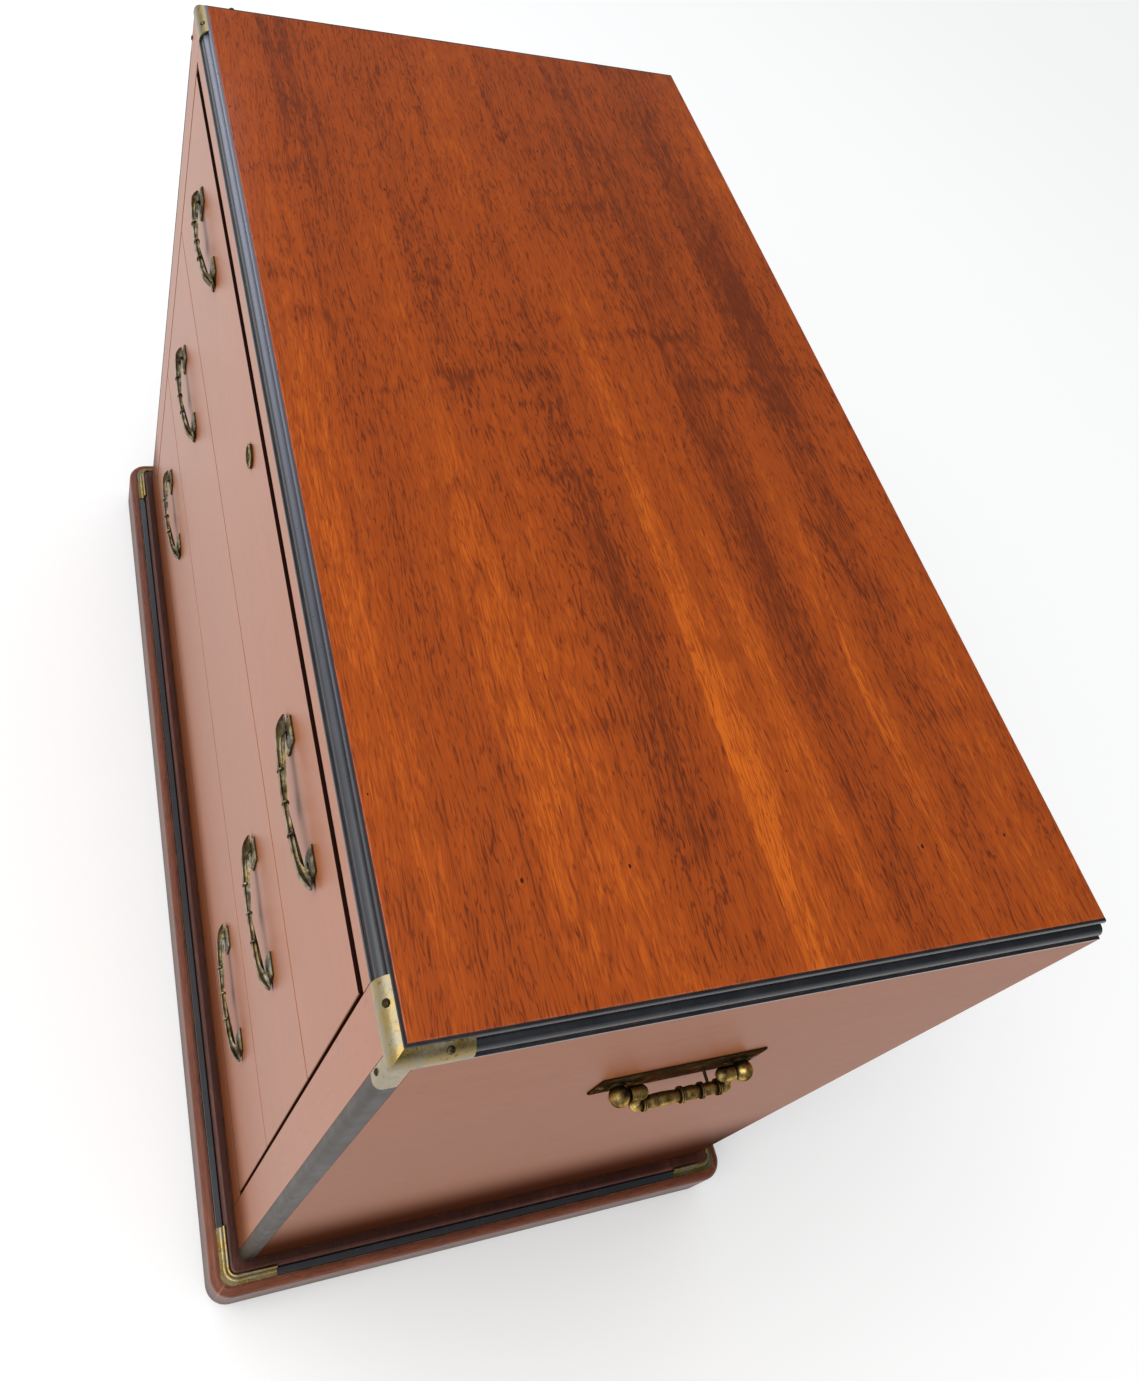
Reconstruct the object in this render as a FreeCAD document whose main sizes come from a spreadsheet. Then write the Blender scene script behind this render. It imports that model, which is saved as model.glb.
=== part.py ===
import FreeCAD, Part
import math
import os
import re
import Sketcher

# Campaign chest: a case with three drawers on a moulded plinth, with ebonised edges and brass hardware.
# Millimetres. The origin lies on the floor under the middle of the chest; +Z up, drawers face -Y.

doc = FreeCAD.newDocument("CampaignChest")
sheet = doc.addObject("Spreadsheet::Sheet", "Sizes")

sizes = {
    # case
    "caseWidth": 914, "caseDepth": 471, "totalHeight": 700, "panelThick": 20, "backThick": 8,
    "backRebate": 12, "bottomThick": 18, "edgeRound": 0.8, "jointChamfer": 0.6,
    # ebonised mouldings
    "mouldWidth": 9.4, "mouldDrop": 14, "mouldSink": 0.4, "mouldLip": 2.4, "mouldNose": 4,
    "mouldNotch": 0.8, "mouldStrip": 1.8, "mouldStep": 1.8, "mouldQuirk": 1, "mouldSoft": 0.6,
    "cornerWidth": 9, "cornerReach": 12.5, "cornerRound": 5,
    # face frame and drawer slots, from the top down
    "stileWidth": 37, "topRailHeight": 20, "bottomRailHeight": 62.3, "topSlotShare": 0.3213,
    "middleSlotShare": 0.3556,
    # drawers
    "drawerGap": 3, "headGap": 4, "seamGap": 1, "frontThick": 20, "boxThick": 12, "backSpace": 23, "boxDrop": 3,
    "bottomBoard": 5, "grooveDepth": 5, "grooveRise": 8, "frontRound": 1, "tailCount": 4,
    "tailLap": 5, "tailSlope": 3, "woodFit": 0.1, "slideFit": 0.3, "guideFit": 0.5,
    # dividers and runners
    "dividerThick": 18, "dividerDepth": 60, "runnerReach": 16, "guideHeight": 30, "kickerHeight": 22,
    # plinth
    "plinthOut": 25.7, "plinthHeight": 54, "plinthThick": 22, "plinthRound": 20, "plinthBead": 7,
    "plinthLedge": 49.7, "ledgeOut": 17.4, "bandWidth": 6.6, "bandHeight": 3.3, "bandRound": 1,
    "rimWidth": 10.1, "rimHeight": 10.6, "rimRound": 3.6, "rimCorner": 8, "bearerWidth": 24,
    "bearerHeight": 24, "plinthFit": 0.3,
    # brass plinth corners
    "brassArm": 49, "brassThick": 1.2, "brassLap": 1.5, "brassRib": 3.2, "brassRise": 0.3, "brassCove": 2.5,
    # brass caps on the front top corners
    "capArm": 45, "capDrop": 46, "capThick": 1.3, "capBow": 10.4, "capFoot": 3, "capLip": 2,
    "capScrewRadius": 3, "capScrewRise": 1, "capScrewLength": 8, "capScrewLean": 0.67,
    # bow pulls
    "pullPlace": 264.5, "pullRaise": 22, "pullSpan": 90, "rosetteWidth": 18, "rosetteHeight": 23,
    "rosetteThick": 2.4, "rosetteBevel": 1.3, "bowReach": 8.4, "bowEnd": 5.2, "bowDroop": 4, "bowRadius": 2.6,
    "nodeRadius": 3.3, "nodeWidth": 1.4, "studRadius": 2.4, "studLength": 16, "studFit": 0.1,
    # key escutcheon and lock
    "plateRadius": 9, "plateThick": 1.4, "plateRim": 1.8, "plateRise": 1, "keyDrop": 45,
    "keyRadius": 2.2, "keySlot": 2, "keyTail": 6, "lockWidth": 60, "lockHeight": 40, "lockDepth": 11,
    # side handles
    "handleHeight": 541, "handleForward": 6, "backPlate": 121, "backPlateHeight": 32, "backPlateThick": 1.6,
    "postSpan": 92, "postBall": 7, "postOut": 8.6, "postNeck": 3.4,
    "postFoot": 6, "pinRadius": 2, "pinFit": 0.05, "pinReach": 5, "gripDrop": 9.3, "gripAngle": 54,
    "gripSpan": 56, "gripRadius": 4.9, "gripEnd": 3.7, "ringRadius": 5.4, "ringWidth": 2.4,
    "ringShare": 0.55, "armRadius": 3.8, "armPlace": 33.5, "elbowRadius": 4.3, "knuckleRadius": 4.9,
    "knuckleStart": 30.5, "pinGap": 0.3, "stopOffset": 22, "stopRadius": 1.1,
    "stopGap": 0.3, "screwRadius": 1.9, "screwRise": 0.7, "screwLength": 11, "screwInset": 4, "screwSpread": 36, "screwFit": 0.2,
}
for row, (alias, value) in enumerate(sizes.items(), start=1):
    sheet.set(f"A{row}", alias)
    sheet.set(f"B{row}", str(value))
    sheet.setAlias(f"B{row}", alias)
doc.recompute()

sums = doc.addObject("Spreadsheet::Sheet", "Sums")
parts = []
known = {}


def named(expression):
    """Put the sheet's name before each of its sizes in a sum."""
    return re.sub(r"[A-Za-z]\w*", lambda w: "Sizes." + w[0] if w[0] in sizes else w[0], expression)


def size(expression):
    """The value of a sum of sheet sizes."""
    if expression not in known:
        sums.set("A1", "=" + named(expression))
        sums.recompute()
        known[expression] = float(sums.get("A1"))
    return known[expression]


def bind(thing, **expressions):
    """Tie properties to sums of sheet sizes; a name such as Placement_Base_x means Placement.Base.x."""
    for name, expression in expressions.items():
        thing.setExpression(name.replace("_", "."), named(expression))


def put(thing, x="0", y="0", z="0"):
    bind(thing, Placement_Base_x=x, Placement_Base_y=y, Placement_Base_z=z)


def keep(thing, label):
    thing.Label = label
    parts.append(thing)
    return thing


def newBody(label, x="0", y="0", z="0"):
    body = doc.addObject("PartDesign::Body", label)
    put(body, x, y, z)
    return body


def plane(body, role):
    return [f for f in body.Origin.OriginFeatures if f.Role == role][0]


def sketchOn(body, role, name, shift="0"):
    sketch = body.newObject("Sketcher::SketchObject", name)
    sketch.AttachmentSupport = [(plane(body, role), "")]
    sketch.MapMode = "FlatFace"
    if shift != "0":
        bind(sketch, AttachmentOffset_Base_z=shift)
    return sketch


def outline(sketch, points):
    """A closed outline through points given as pairs of sums, each point tied to the sketch's origin.

    Three more sums, a centre and a radius, make an arc from that point to the next.
    """
    count = len(points)
    values = [(size(p[0]), size(p[1])) for p in points]
    first = sketch.GeometryCount
    starts = []
    for i, point in enumerate(points):
        a, b = values[i], values[(i + 1) % count]
        if len(point) == 2:
            run, start = Part.LineSegment(FreeCAD.Vector(*a, 0), FreeCAD.Vector(*b, 0)), 1
        else:
            h, v, radius = [size(e) for e in point[2:]]
            ring = Part.Circle(FreeCAD.Vector(h, v, 0), FreeCAD.Vector(0, 0, 1), radius)
            angles = [math.atan2(p[1] - v, p[0] - h) for p in (a, b)]
            turn = (angles[1] - angles[0]) % (2 * math.pi)
            start = 1 if turn < math.pi else 2
            low = angles[start - 1]
            run = Part.ArcOfCircle(ring, low, low + min(turn, 2 * math.pi - turn))
        starts.append(start)
        sketch.addGeometry(run, False)
    for i in range(count):
        after = (i + 1) % count
        sketch.addConstraint(Sketcher.Constraint("Coincident", first + i, 3 - starts[i],
                                                 first + after, starts[after]))
    for i, point in enumerate(points):
        for kind, axis, expression, value in (("DistanceX", -2, point[0], values[i][0]),
                                              ("DistanceY", -1, point[1], values[i][1])):
            if expression == "0":
                sketch.addConstraint(Sketcher.Constraint("PointOnObject", first + i, starts[i], axis))
            else:
                n = sketch.addConstraint(Sketcher.Constraint(kind, -1, 1, first + i, starts[i], value))
                bindDatum(sketch, n, expression)
        if len(point) > 2:
            n = sketch.addConstraint(Sketcher.Constraint("Radius", first + i, size(point[4])))
            bindDatum(sketch, n, point[4])


def circle(sketch, h, v, radius):
    n = sketch.addGeometry(Part.Circle(FreeCAD.Vector(size(h), size(v), 0),
                                       FreeCAD.Vector(0, 0, 1), size(radius)), False)
    for kind, axis, expression in (("DistanceX", -2, h), ("DistanceY", -1, v)):
        if expression == "0":
            sketch.addConstraint(Sketcher.Constraint("PointOnObject", n, 3, axis))
        else:
            c = sketch.addConstraint(Sketcher.Constraint(kind, -1, 1, n, 3, size(expression)))
            bindDatum(sketch, c, expression)
    c = sketch.addConstraint(Sketcher.Constraint("Radius", n, size(radius)))
    bindDatum(sketch, c, radius)


def bindDatum(sketch, number, expression):
    sketch.setExpression(f"Constraints[{number}]", named(expression))


def pad(body, sketch, length, name="Pad", back=False):
    feature = body.newObject("PartDesign::Pad", name)
    feature.Profile = sketch
    feature.Reversed = back
    bind(feature, Length=length)
    return feature


def pocket(body, sketch, length, name="Pocket", forward=False):
    """Cuts against the sketch's normal, or along it where forward is set."""
    feature = body.newObject("PartDesign::Pocket", name)
    feature.Profile = sketch
    feature.Reversed = forward
    bind(feature, Length=length)
    return feature


def edgesWhere(feature, test):
    return [f"Edge{i}" for i, e in enumerate(feature.Shape.Edges, start=1) if test(e)]


def roundEdges(body, feature, radius, test, kind="Fillet"):
    doc.recompute()
    names = edgesWhere(feature, test)
    dress = body.newObject("PartDesign::" + kind, kind)
    dress.Base = (feature, names)
    bind(dress, **{"Radius" if kind == "Fillet" else "Size": radius})
    return dress


def middle(edge):
    return edge.valueAt((edge.FirstParameter + edge.LastParameter) / 2)


def runsAlong(edge, axis):
    a, b = edge.Vertexes[0].Point, edge.Vertexes[-1].Point
    return sum(abs(a[k] - b[k]) > 0.01 for k in range(3) if k != axis) == 0 and abs(a[axis] - b[axis]) > 0.01


def near(value, expression):
    return abs(value - size(expression)) < 0.02


def board(label, x, y, z, length, depth, height):
    """A plain rectangular board with one corner at x, y, z."""
    body = newBody(label, x, y, z)
    sketch = sketchOn(body, "XY_Plane", "Outline")
    outline(sketch, [("0", "0"), (length, "0"), (length, depth), ("0", depth)])
    pad(body, sketch, height)
    return body


def group(label, things):
    """Separate solids of one kind under one name."""
    compound = doc.addObject("Part::Compound", label)
    compound.Links = things
    return keep(compound, label)


def box(name, x, y, z, length, width, height):
    thing = doc.addObject("Part::Box", name)
    put(thing, x, y, z)
    bind(thing, Length=length, Width=width, Height=height)
    return thing


def cut(name, base, *tools):
    tool = tools[0] if len(tools) == 1 else fuse(name + "Tools", *tools)
    thing = doc.addObject("Part::Cut", name)
    thing.Base, thing.Tool = base, tool
    return thing


def fuse(name, *things):
    thing = doc.addObject("Part::MultiFuse", name)
    thing.Shapes = list(things)
    thing.Refine = True
    return thing


def mirrorX(name, source):
    """The other hand of a piece, mirrored across the middle of the chest."""
    thing = doc.addObject("Part::Mirroring", name)
    thing.Source = source
    thing.Normal = FreeCAD.Vector(1, 0, 0)
    return thing


# Levels and lines that several pieces share.
caseFoot = "plinthLedge"
sideOuter = "caseWidth / 2"
frontPlane = "(0 - caseDepth / 2)"
openHalf = "(caseWidth / 2 - cornerWidth - stileWidth)"
innerHalf = "(caseWidth / 2 - panelThick)"
mouldFoot = "(totalHeight - mouldDrop)"
topUnder = "(totalHeight - panelThick)"
topHalf = "(caseWidth / 2 - mouldWidth)"
topFront = "(mouldWidth - caseDepth / 2)"
openTop = "(totalHeight - mouldDrop - topRailHeight)"
openFoot = f"({caseFoot} + bottomRailHeight)"
topSlot = f"(topSlotShare * ({openTop} - {openFoot}))"
middleSlot = f"(middleSlotShare * ({openTop} - {openFoot}))"
upperSeam = f"({openTop} - {topSlot})"
lowerSeam = f"({upperSeam} - {middleSlot})"
lowerSlot = f"({lowerSeam} - {openFoot})"
backInner = "(caseDepth / 2 - backThick)"
frameBack = "(frontThick - caseDepth / 2)"


# --- case ---

def topPanel():
    body = board("top_panel", f"0 - {topHalf}", topFront, topUnder, f"2 * {topHalf}",
                 "caseDepth - mouldWidth", "panelThick")
    roundEdges(body, body.Tip, "edgeRound",
               lambda e: near(middle(e).z, "panelThick") and not runsAlong(e, 2))
    keep(body, "top_panel")


# The cap's curve stands on the moulding's face; its centre, seen in the moulding's section.
capCentre = "(mouldWidth - capBow)"


def facing(points, outward):
    """Section points turned to face outward."""
    return [tuple(f"({e}) * {outward}" if k in (0, 2) else e for k, e in enumerate(p)) for p in points]


def capLevel(radius):
    """How high the cap's curve of this radius stands at its upper edge."""
    return f"(capFoot + sqrt({radius} ^ 2 - (capLip - {capCentre}) ^ 2))"


def mouldSection(outward):
    """A nosing under the top, a notch, a quarter round, a quirk and a narrow strip at the foot."""
    step, foot = "(mouldWidth - mouldStep)", "(mouldStrip + mouldQuirk)"
    quarter = "(mouldWidth - mouldStep - mouldLip)"
    notch, nose, crown = f"({foot} + {quarter})", f"({foot} + {quarter} + mouldNotch)", "(mouldDrop - mouldSink)"
    back = "(mouldLip - mouldNotch)"
    noseCentre = f"({back} - sqrt(mouldNose ^ 2 - (({crown} - {nose}) / 2) ^ 2))"
    return facing([
        ("0", "0"), ("mouldWidth", "0"), ("mouldWidth", "mouldStrip"), (step, "mouldStrip"),
        (step, foot, "mouldLip", foot, quarter), ("mouldLip", notch), (back, notch),
        (back, nose, noseCentre, f"(({nose} + {crown}) / 2)", "mouldNose"), (back, crown),
        ("0", crown)], outward)


def capSeat(outward):
    """What is cut from a moulding to take the brass cap."""
    inner = "(capBow - capThick)"
    return facing([
        ("capLip", "mouldDrop + 1"), ("capLip", capLevel(inner), capCentre, "capFoot", inner),
        ("mouldWidth - capThick", "capFoot"), ("mouldWidth - capThick", "0 - 1"),
        ("mouldWidth + 2", "0 - 1"), ("mouldWidth + 2", "mouldDrop + 1")], outward)


def softStrip(body, feature, outwardAxis, sign):
    return roundEdges(body, feature, "mouldSoft",
                      lambda e: near(middle(e)[outwardAxis] * sign, "mouldWidth")
                      and near(middle(e).z, "mouldStrip"))


def sideMoulding():
    """Runs along the right edge of the top; its front end is mitred and rebated under the brass cap."""
    body = newBody("top_moulding_right", topHalf, frontPlane, mouldFoot)
    sketch = sketchOn(body, "XZ_Plane", "Profile")
    outline(sketch, mouldSection("1"))
    run = pad(body, sketch, "caseDepth", back=True)
    softStrip(body, run, 0, 1)
    mitre = sketchOn(body, "XY_Plane", "Mitre")
    outline(mitre, [("0 - 1", "0 - 1"), ("mouldWidth + 1", "0 - 1"), ("0 - 1", "mouldWidth + 1")])
    pocket(body, mitre, "mouldDrop * 2", "MitreCut", forward=True)
    rebate = sketchOn(body, "XZ_Plane", "CapRebate")
    outline(rebate, capSeat("1"))
    pocket(body, rebate, "capArm", "CapRebateCut")
    keep(body, "top_moulding_right")
    keep(mirrorX("top_moulding_left", body), "top_moulding_left")


def frontMoulding():
    body = newBody("top_moulding_front", "0", topFront, mouldFoot)
    sketch = sketchOn(body, "YZ_Plane", "Profile")
    outline(sketch, mouldSection("(0 - 1)"))
    run = pad(body, sketch, "caseWidth")
    run.Midplane = True
    softStrip(body, run, 1, -1)
    for side, sign in (("Right", ""), ("Left", "0 - ")):
        mitre = sketchOn(body, "XY_Plane", "Mitre" + side)
        outline(mitre, [(f"{sign}({topHalf} - 1)", "1"), (f"{sign}(caseWidth / 2 + 1)", "1"),
                        (f"{sign}(caseWidth / 2 + 1)", "0 - mouldWidth - 1")])
        pocket(body, mitre, "mouldDrop * 2", "MitreCut" + side, forward=True)
        rebate = sketchOn(body, "YZ_Plane", "CapRebate" + side, f"{sign}(caseWidth / 2 - capArm)")
        outline(rebate, capSeat("(0 - 1)"))
        pocket(body, rebate, "capArm + 1", "CapRebateCut" + side, forward=side == "Right")
    keep(body, "top_moulding_front")


def cornerMoulding():
    """Rounded strip down the right front corner, thinner at its head where the brass cap folds over it."""
    body = newBody("corner_moulding_right", "caseWidth / 2 - cornerWidth", frontPlane, caseFoot)
    sketch = sketchOn(body, "XY_Plane", "Outline")
    outline(sketch, [("0", "0"), ("cornerWidth", "0"), ("cornerWidth", "cornerReach"), ("0", "cornerReach")])
    run = pad(body, sketch, f"{mouldFoot} - {caseFoot}")
    roundEdges(body, run, "cornerRound", lambda e: runsAlong(e, 2) and near(middle(e).x, "cornerWidth")
               and near(middle(e).y, "0"))
    head = sketchOn(body, "XY_Plane", "CapRebate", f"{mouldFoot} - {caseFoot}")
    bend = "(cornerWidth - cornerRound)"
    outline(head, [("0 - 1", "0 - 1"), ("cornerWidth + 1", "0 - 1"), ("cornerWidth + 1", "cornerReach + 1"),
                   ("cornerWidth - capThick", "cornerReach + 1"),
                   ("cornerWidth - capThick", "cornerRound", bend, "cornerRound", "cornerRound - capThick"),
                   (bend, "capThick"), ("0 - 1", "capThick")])
    pocket(body, head, "capDrop - mouldDrop", "CapRebateCut")
    keep(body, "corner_moulding_right")
    keep(mirrorX("corner_moulding_left", body), "corner_moulding_left")


def sidePanel():
    """Side board with a tongue behind the corner strip and rebates for the top and the back."""
    body = newBody("side_panel_right")
    sketch = sketchOn(body, "XY_Plane", "Plan", caseFoot)
    outer, inner = sideOuter, innerHalf
    strip = "(caseWidth / 2 - cornerWidth)"
    rebate = "(caseWidth / 2 - panelThick + backRebate)"
    outline(sketch, [(strip, "cornerReach - caseDepth / 2"), (outer, "cornerReach - caseDepth / 2"),
                     (outer, "caseDepth / 2"), (rebate, "caseDepth / 2"), (rebate, backInner),
                     (inner, backInner), (inner, frameBack), (strip, frameBack)])
    plank = pad(body, sketch, f"{mouldFoot} - {caseFoot}")
    roundEdges(body, plank, "jointChamfer",
               lambda e: runsAlong(e, 2) and near(middle(e).x, outer)
               and near(middle(e).y, "cornerReach - caseDepth / 2"), kind="Chamfer")
    top = sketchOn(body, "XY_Plane", "TopRebate", mouldFoot)
    outline(top, [(f"{inner} - 1", "0 - caseDepth / 2"), (topHalf, "0 - caseDepth / 2"),
                  (topHalf, "caseDepth / 2 + 1"), (f"{inner} - 1", "caseDepth / 2 + 1")])
    pocket(body, top, "panelThick - mouldDrop", "TopRebateCut")
    keep(body, "side_panel_right")
    keep(mirrorX("side_panel_left", body), "side_panel_left")


def stile():
    body = board("stile_right", openHalf, frontPlane, caseFoot, "stileWidth", "frontThick",
                 f"{mouldFoot} - {caseFoot}")
    roundEdges(body, body.Tip, "jointChamfer",
               lambda e: runsAlong(e, 2) and near(middle(e).y, "0"), kind="Chamfer")
    top = sketchOn(body, "XY_Plane", "TopRebate", f"{mouldFoot} - {caseFoot}")
    # the top panel's corner lies over the stile
    outline(top, [("0 - 1", "mouldWidth"), (f"{topHalf} - {openHalf}", "mouldWidth"),
                  (f"{topHalf} - {openHalf}", "frontThick + 1"), ("0 - 1", "frontThick + 1")])
    pocket(body, top, "panelThick - mouldDrop", "TopRebateCut")
    keep(body, "stile_right")
    keep(mirrorX("stile_left", body), "stile_left")


def rails():
    top = board("top_rail", f"0 - {openHalf}", frontPlane, openTop, f"2 * {openHalf}", "frontThick",
                "topRailHeight")
    rebate = sketchOn(top, "XY_Plane", "TopRebate", "topRailHeight")
    outline(rebate, [("0 - 1", "mouldWidth"), (f"2 * {openHalf} + 1", "mouldWidth"),
                     (f"2 * {openHalf} + 1", "frontThick + 1"), ("0 - 1", "frontThick + 1")])
    pocket(top, rebate, "panelThick - mouldDrop", "TopRebateCut")
    keep(top, "top_rail")
    keep(board("bottom_rail", f"0 - {openHalf}", frontPlane, caseFoot, f"2 * {openHalf}", "frontThick",
               f"{openFoot} - {caseFoot}"), "bottom_rail")


def caseInside():
    backHalf = "(caseWidth / 2 - panelThick + backRebate)"
    keep(board("back_panel", f"0 - {backHalf}", backInner, caseFoot, f"2 * {backHalf}", "backThick",
               f"{topUnder} - {caseFoot}"), "back_panel")
    keep(board("case_bottom", f"0 - {innerHalf}", frameBack, f"{openFoot} + dividerThick / 2 - bottomThick",
               f"2 * {innerHalf}", f"{backInner} - {frameBack}", "bottomThick"), "case_bottom")
    keep(board("back_stretcher", f"0 - {innerHalf}", f"{backInner} - dividerDepth",
               f"{topUnder} - dividerThick", f"2 * {innerHalf}", "dividerDepth", "dividerThick"),
         "back_stretcher")
    for name, seam in (("upper", upperSeam), ("lower", lowerSeam)):
        keep(board("divider_" + name, f"0 - {innerHalf}", f"{frameBack} + slideFit",
                   f"{seam} - dividerThick / 2", f"2 * {innerHalf}", "dividerDepth", "dividerThick"),
             "divider_" + name)


boxHalf = f"({openHalf} - drawerGap)"
guideInner = f"({boxHalf} + guideFit)"
runnerInner = f"({boxHalf} - runnerReach)"
runnerFront = f"({frameBack} + slideFit + dividerDepth)"


def runners():
    """A ledge under each drawer side with a guide strip beside it, and a kicker over the top drawer."""
    length = f"{backInner} - {runnerFront}"
    ledge = f"{innerHalf} - {runnerInner}"
    things = []
    for name, seam in (("Upper", upperSeam), ("Lower", lowerSeam)):
        things.append(box("runner" + name, runnerInner, runnerFront, f"{seam} - dividerThick / 2", ledge,
                          length, "dividerThick"))
    for name, seam in (("Upper", upperSeam), ("Lower", lowerSeam), ("Foot", openFoot)):
        things.append(box("guide" + name, guideInner, runnerFront, f"{seam} + dividerThick / 2",
                          f"{innerHalf} - {guideInner}", length, "guideHeight"))
    things.append(box("kicker", runnerInner, frameBack, f"{topUnder} - kickerHeight", ledge,
                      f"{backInner} - dividerDepth - {frameBack}", "kickerHeight"))
    right = group("runners_right", things)
    keep(mirrorX("runners_left", right), "runners_left")


# --- plinth ---

def frameRing(name, inside, outside, foot, height, outerRound, innerRound, dress, frontOnly=False):
    """A level frame round the case whose faces lie inside and outside from the case's own faces.

    Where frontOnly is set, its inner corners are rounded only at the front.
    """
    body = newBody(name)
    sketch = sketchOn(body, "XY_Plane", "Outline", foot)
    for out in (outside, inside):
        a, b = f"(caseWidth / 2 + {out})", f"(caseDepth / 2 + {out})"
        outline(sketch, [(f"0 - {a}", f"0 - {b}"), (a, f"0 - {b}"), (a, b), (f"0 - {a}", b)])
    solid = pad(body, sketch, height)

    def outerCorner(e):
        return runsAlong(e, 2) and near(abs(middle(e).x), f"caseWidth / 2 + {outside}")
    last = roundEdges(body, solid, outerRound, outerCorner)
    if innerRound:
        def innerCorner(e):
            m = middle(e)
            return (runsAlong(e, 2) and near(abs(m.x), f"caseWidth / 2 + {inside}")
                    and not (frontOnly and m.y > 0))
        last = roundEdges(body, last, innerRound, innerCorner)
    for radius, level, faces in dress:
        def topEdge(e):
            m = middle(e)
            if not near(m.z, level) or runsAlong(e, 2):
                return False
            inner = abs(m.x) < size(f"caseWidth / 2 + {inside}") + 0.02 and \
                abs(m.y) < size(f"caseDepth / 2 + {inside}") + 0.02
            return (not inner and "outer" in faces) or (inner and "inner" in faces)
        last = roundEdges(body, last, radius, topEdge)
    return body


def plinthBoards():
    """Four mitred boards with a rounded bead along the outer top edge and a ledge behind it."""
    frame = frameRing("plinthRing", "(plinthOut - plinthThick)", "plinthOut", "0", "plinthHeight",
                      "plinthRound", None, [("plinthBead", "plinthHeight", "outer")])
    ledge = box("plinthLedgeTool", "0 - caseWidth / 2 - ledgeOut", "0 - caseDepth / 2 - ledgeOut",
                "plinthLedge", "caseWidth + 2 * ledgeOut", "caseDepth + 2 * ledgeOut",
                "plinthHeight")
    cornered = doc.addObject("Part::Fillet", "plinthLedgeRound")
    cornered.Base = ledge
    doc.recompute()
    radius = size("plinthRound - plinthOut + ledgeOut")
    cornered.Edges = [(i, radius, radius) for i, e in enumerate(ledge.Shape.Edges, start=1)
                      if runsAlong(e, 2)]
    whole = cut("plinthWhole", frame, cornered)
    reachX, reachY = "(caseWidth / 2 + plinthOut)", "(caseDepth / 2 + plinthOut)"
    near_, far = "(plinthThick + 2)", "2"
    for label, corners in (
            ("plinth_right", [(f"{reachX} + {far}", f"0 - {reachY} - {far}"),
                              (f"{reachX} + {far}", f"{reachY} + {far}"),
                              (f"{reachX} - {near_}", f"{reachY} - {near_}"),
                              (f"{reachX} - {near_}", f"{near_} - {reachY}")]),
            ("plinth_front", [(f"0 - {reachX} - {far}", f"0 - {reachY} - {far}"),
                              (f"{reachX} + {far}", f"0 - {reachY} - {far}"),
                              (f"{reachX} - {near_}", f"{near_} - {reachY}"),
                              (f"{near_} - {reachX}", f"{near_} - {reachY}")]),
            ("plinth_back", [(f"0 - {reachX} - {far}", f"{reachY} + {far}"),
                             (f"{near_} - {reachX}", f"{reachY} - {near_}"),
                             (f"{reachX} - {near_}", f"{reachY} - {near_}"),
                             (f"{reachX} + {far}", f"{reachY} + {far}")])):
        wedge = newBody(label + "Wedge")
        sketch = sketchOn(wedge, "XY_Plane", "Wedge")
        outline(sketch, corners)
        pad(wedge, sketch, "plinthHeight + 5")
        piece = doc.addObject("Part::Common", label)
        piece.Base, piece.Tool = whole, wedge
        keep(piece, label)
        if label == "plinth_right":
            keep(mirrorX("plinth_left", piece), "plinth_left")


def plinthTrim():
    band = frameRing("ebony_band", "(ledgeOut - bandWidth - plinthFit)", "(ledgeOut - plinthFit)",
                     "plinthLedge", "bandHeight", "plinthRound - plinthOut + ledgeOut - plinthFit",
                     "rimCorner", [("bandRound", "plinthLedge + bandHeight", "outer inner")])
    keep(band, "ebony_band")
    rim = frameRing("rim_bead", "0", "rimWidth", "plinthLedge", "rimHeight", "rimCorner", "cornerRound",
                    [("rimRound", "plinthLedge + rimHeight", "outer")], frontOnly=True)
    keep(rim, "rim_bead")
    top = "(plinthLedge - bearerHeight)"
    a = "(caseWidth / 2 + plinthOut - plinthThick)"
    b = "(caseDepth / 2 + plinthOut - plinthThick)"
    bearers = [
        box("bearerFront", f"0 - {a}", f"0 - {b}", top, f"2 * {a}", "bearerWidth", "bearerHeight"),
        box("bearerBack", f"0 - {a}", f"{b} - bearerWidth", top, f"2 * {a}", "bearerWidth", "bearerHeight"),
        box("bearerRight", f"{a} - bearerWidth", f"bearerWidth - {b}", top, "bearerWidth",
            f"2 * ({b} - bearerWidth)", "bearerHeight"),
        box("bearerLeft", f"0 - {a}", f"bearerWidth - {b}", top, "bearerWidth",
            f"2 * ({b} - bearerWidth)", "bearerHeight")]
    group("base_bearers", bearers)
    return rim


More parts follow.
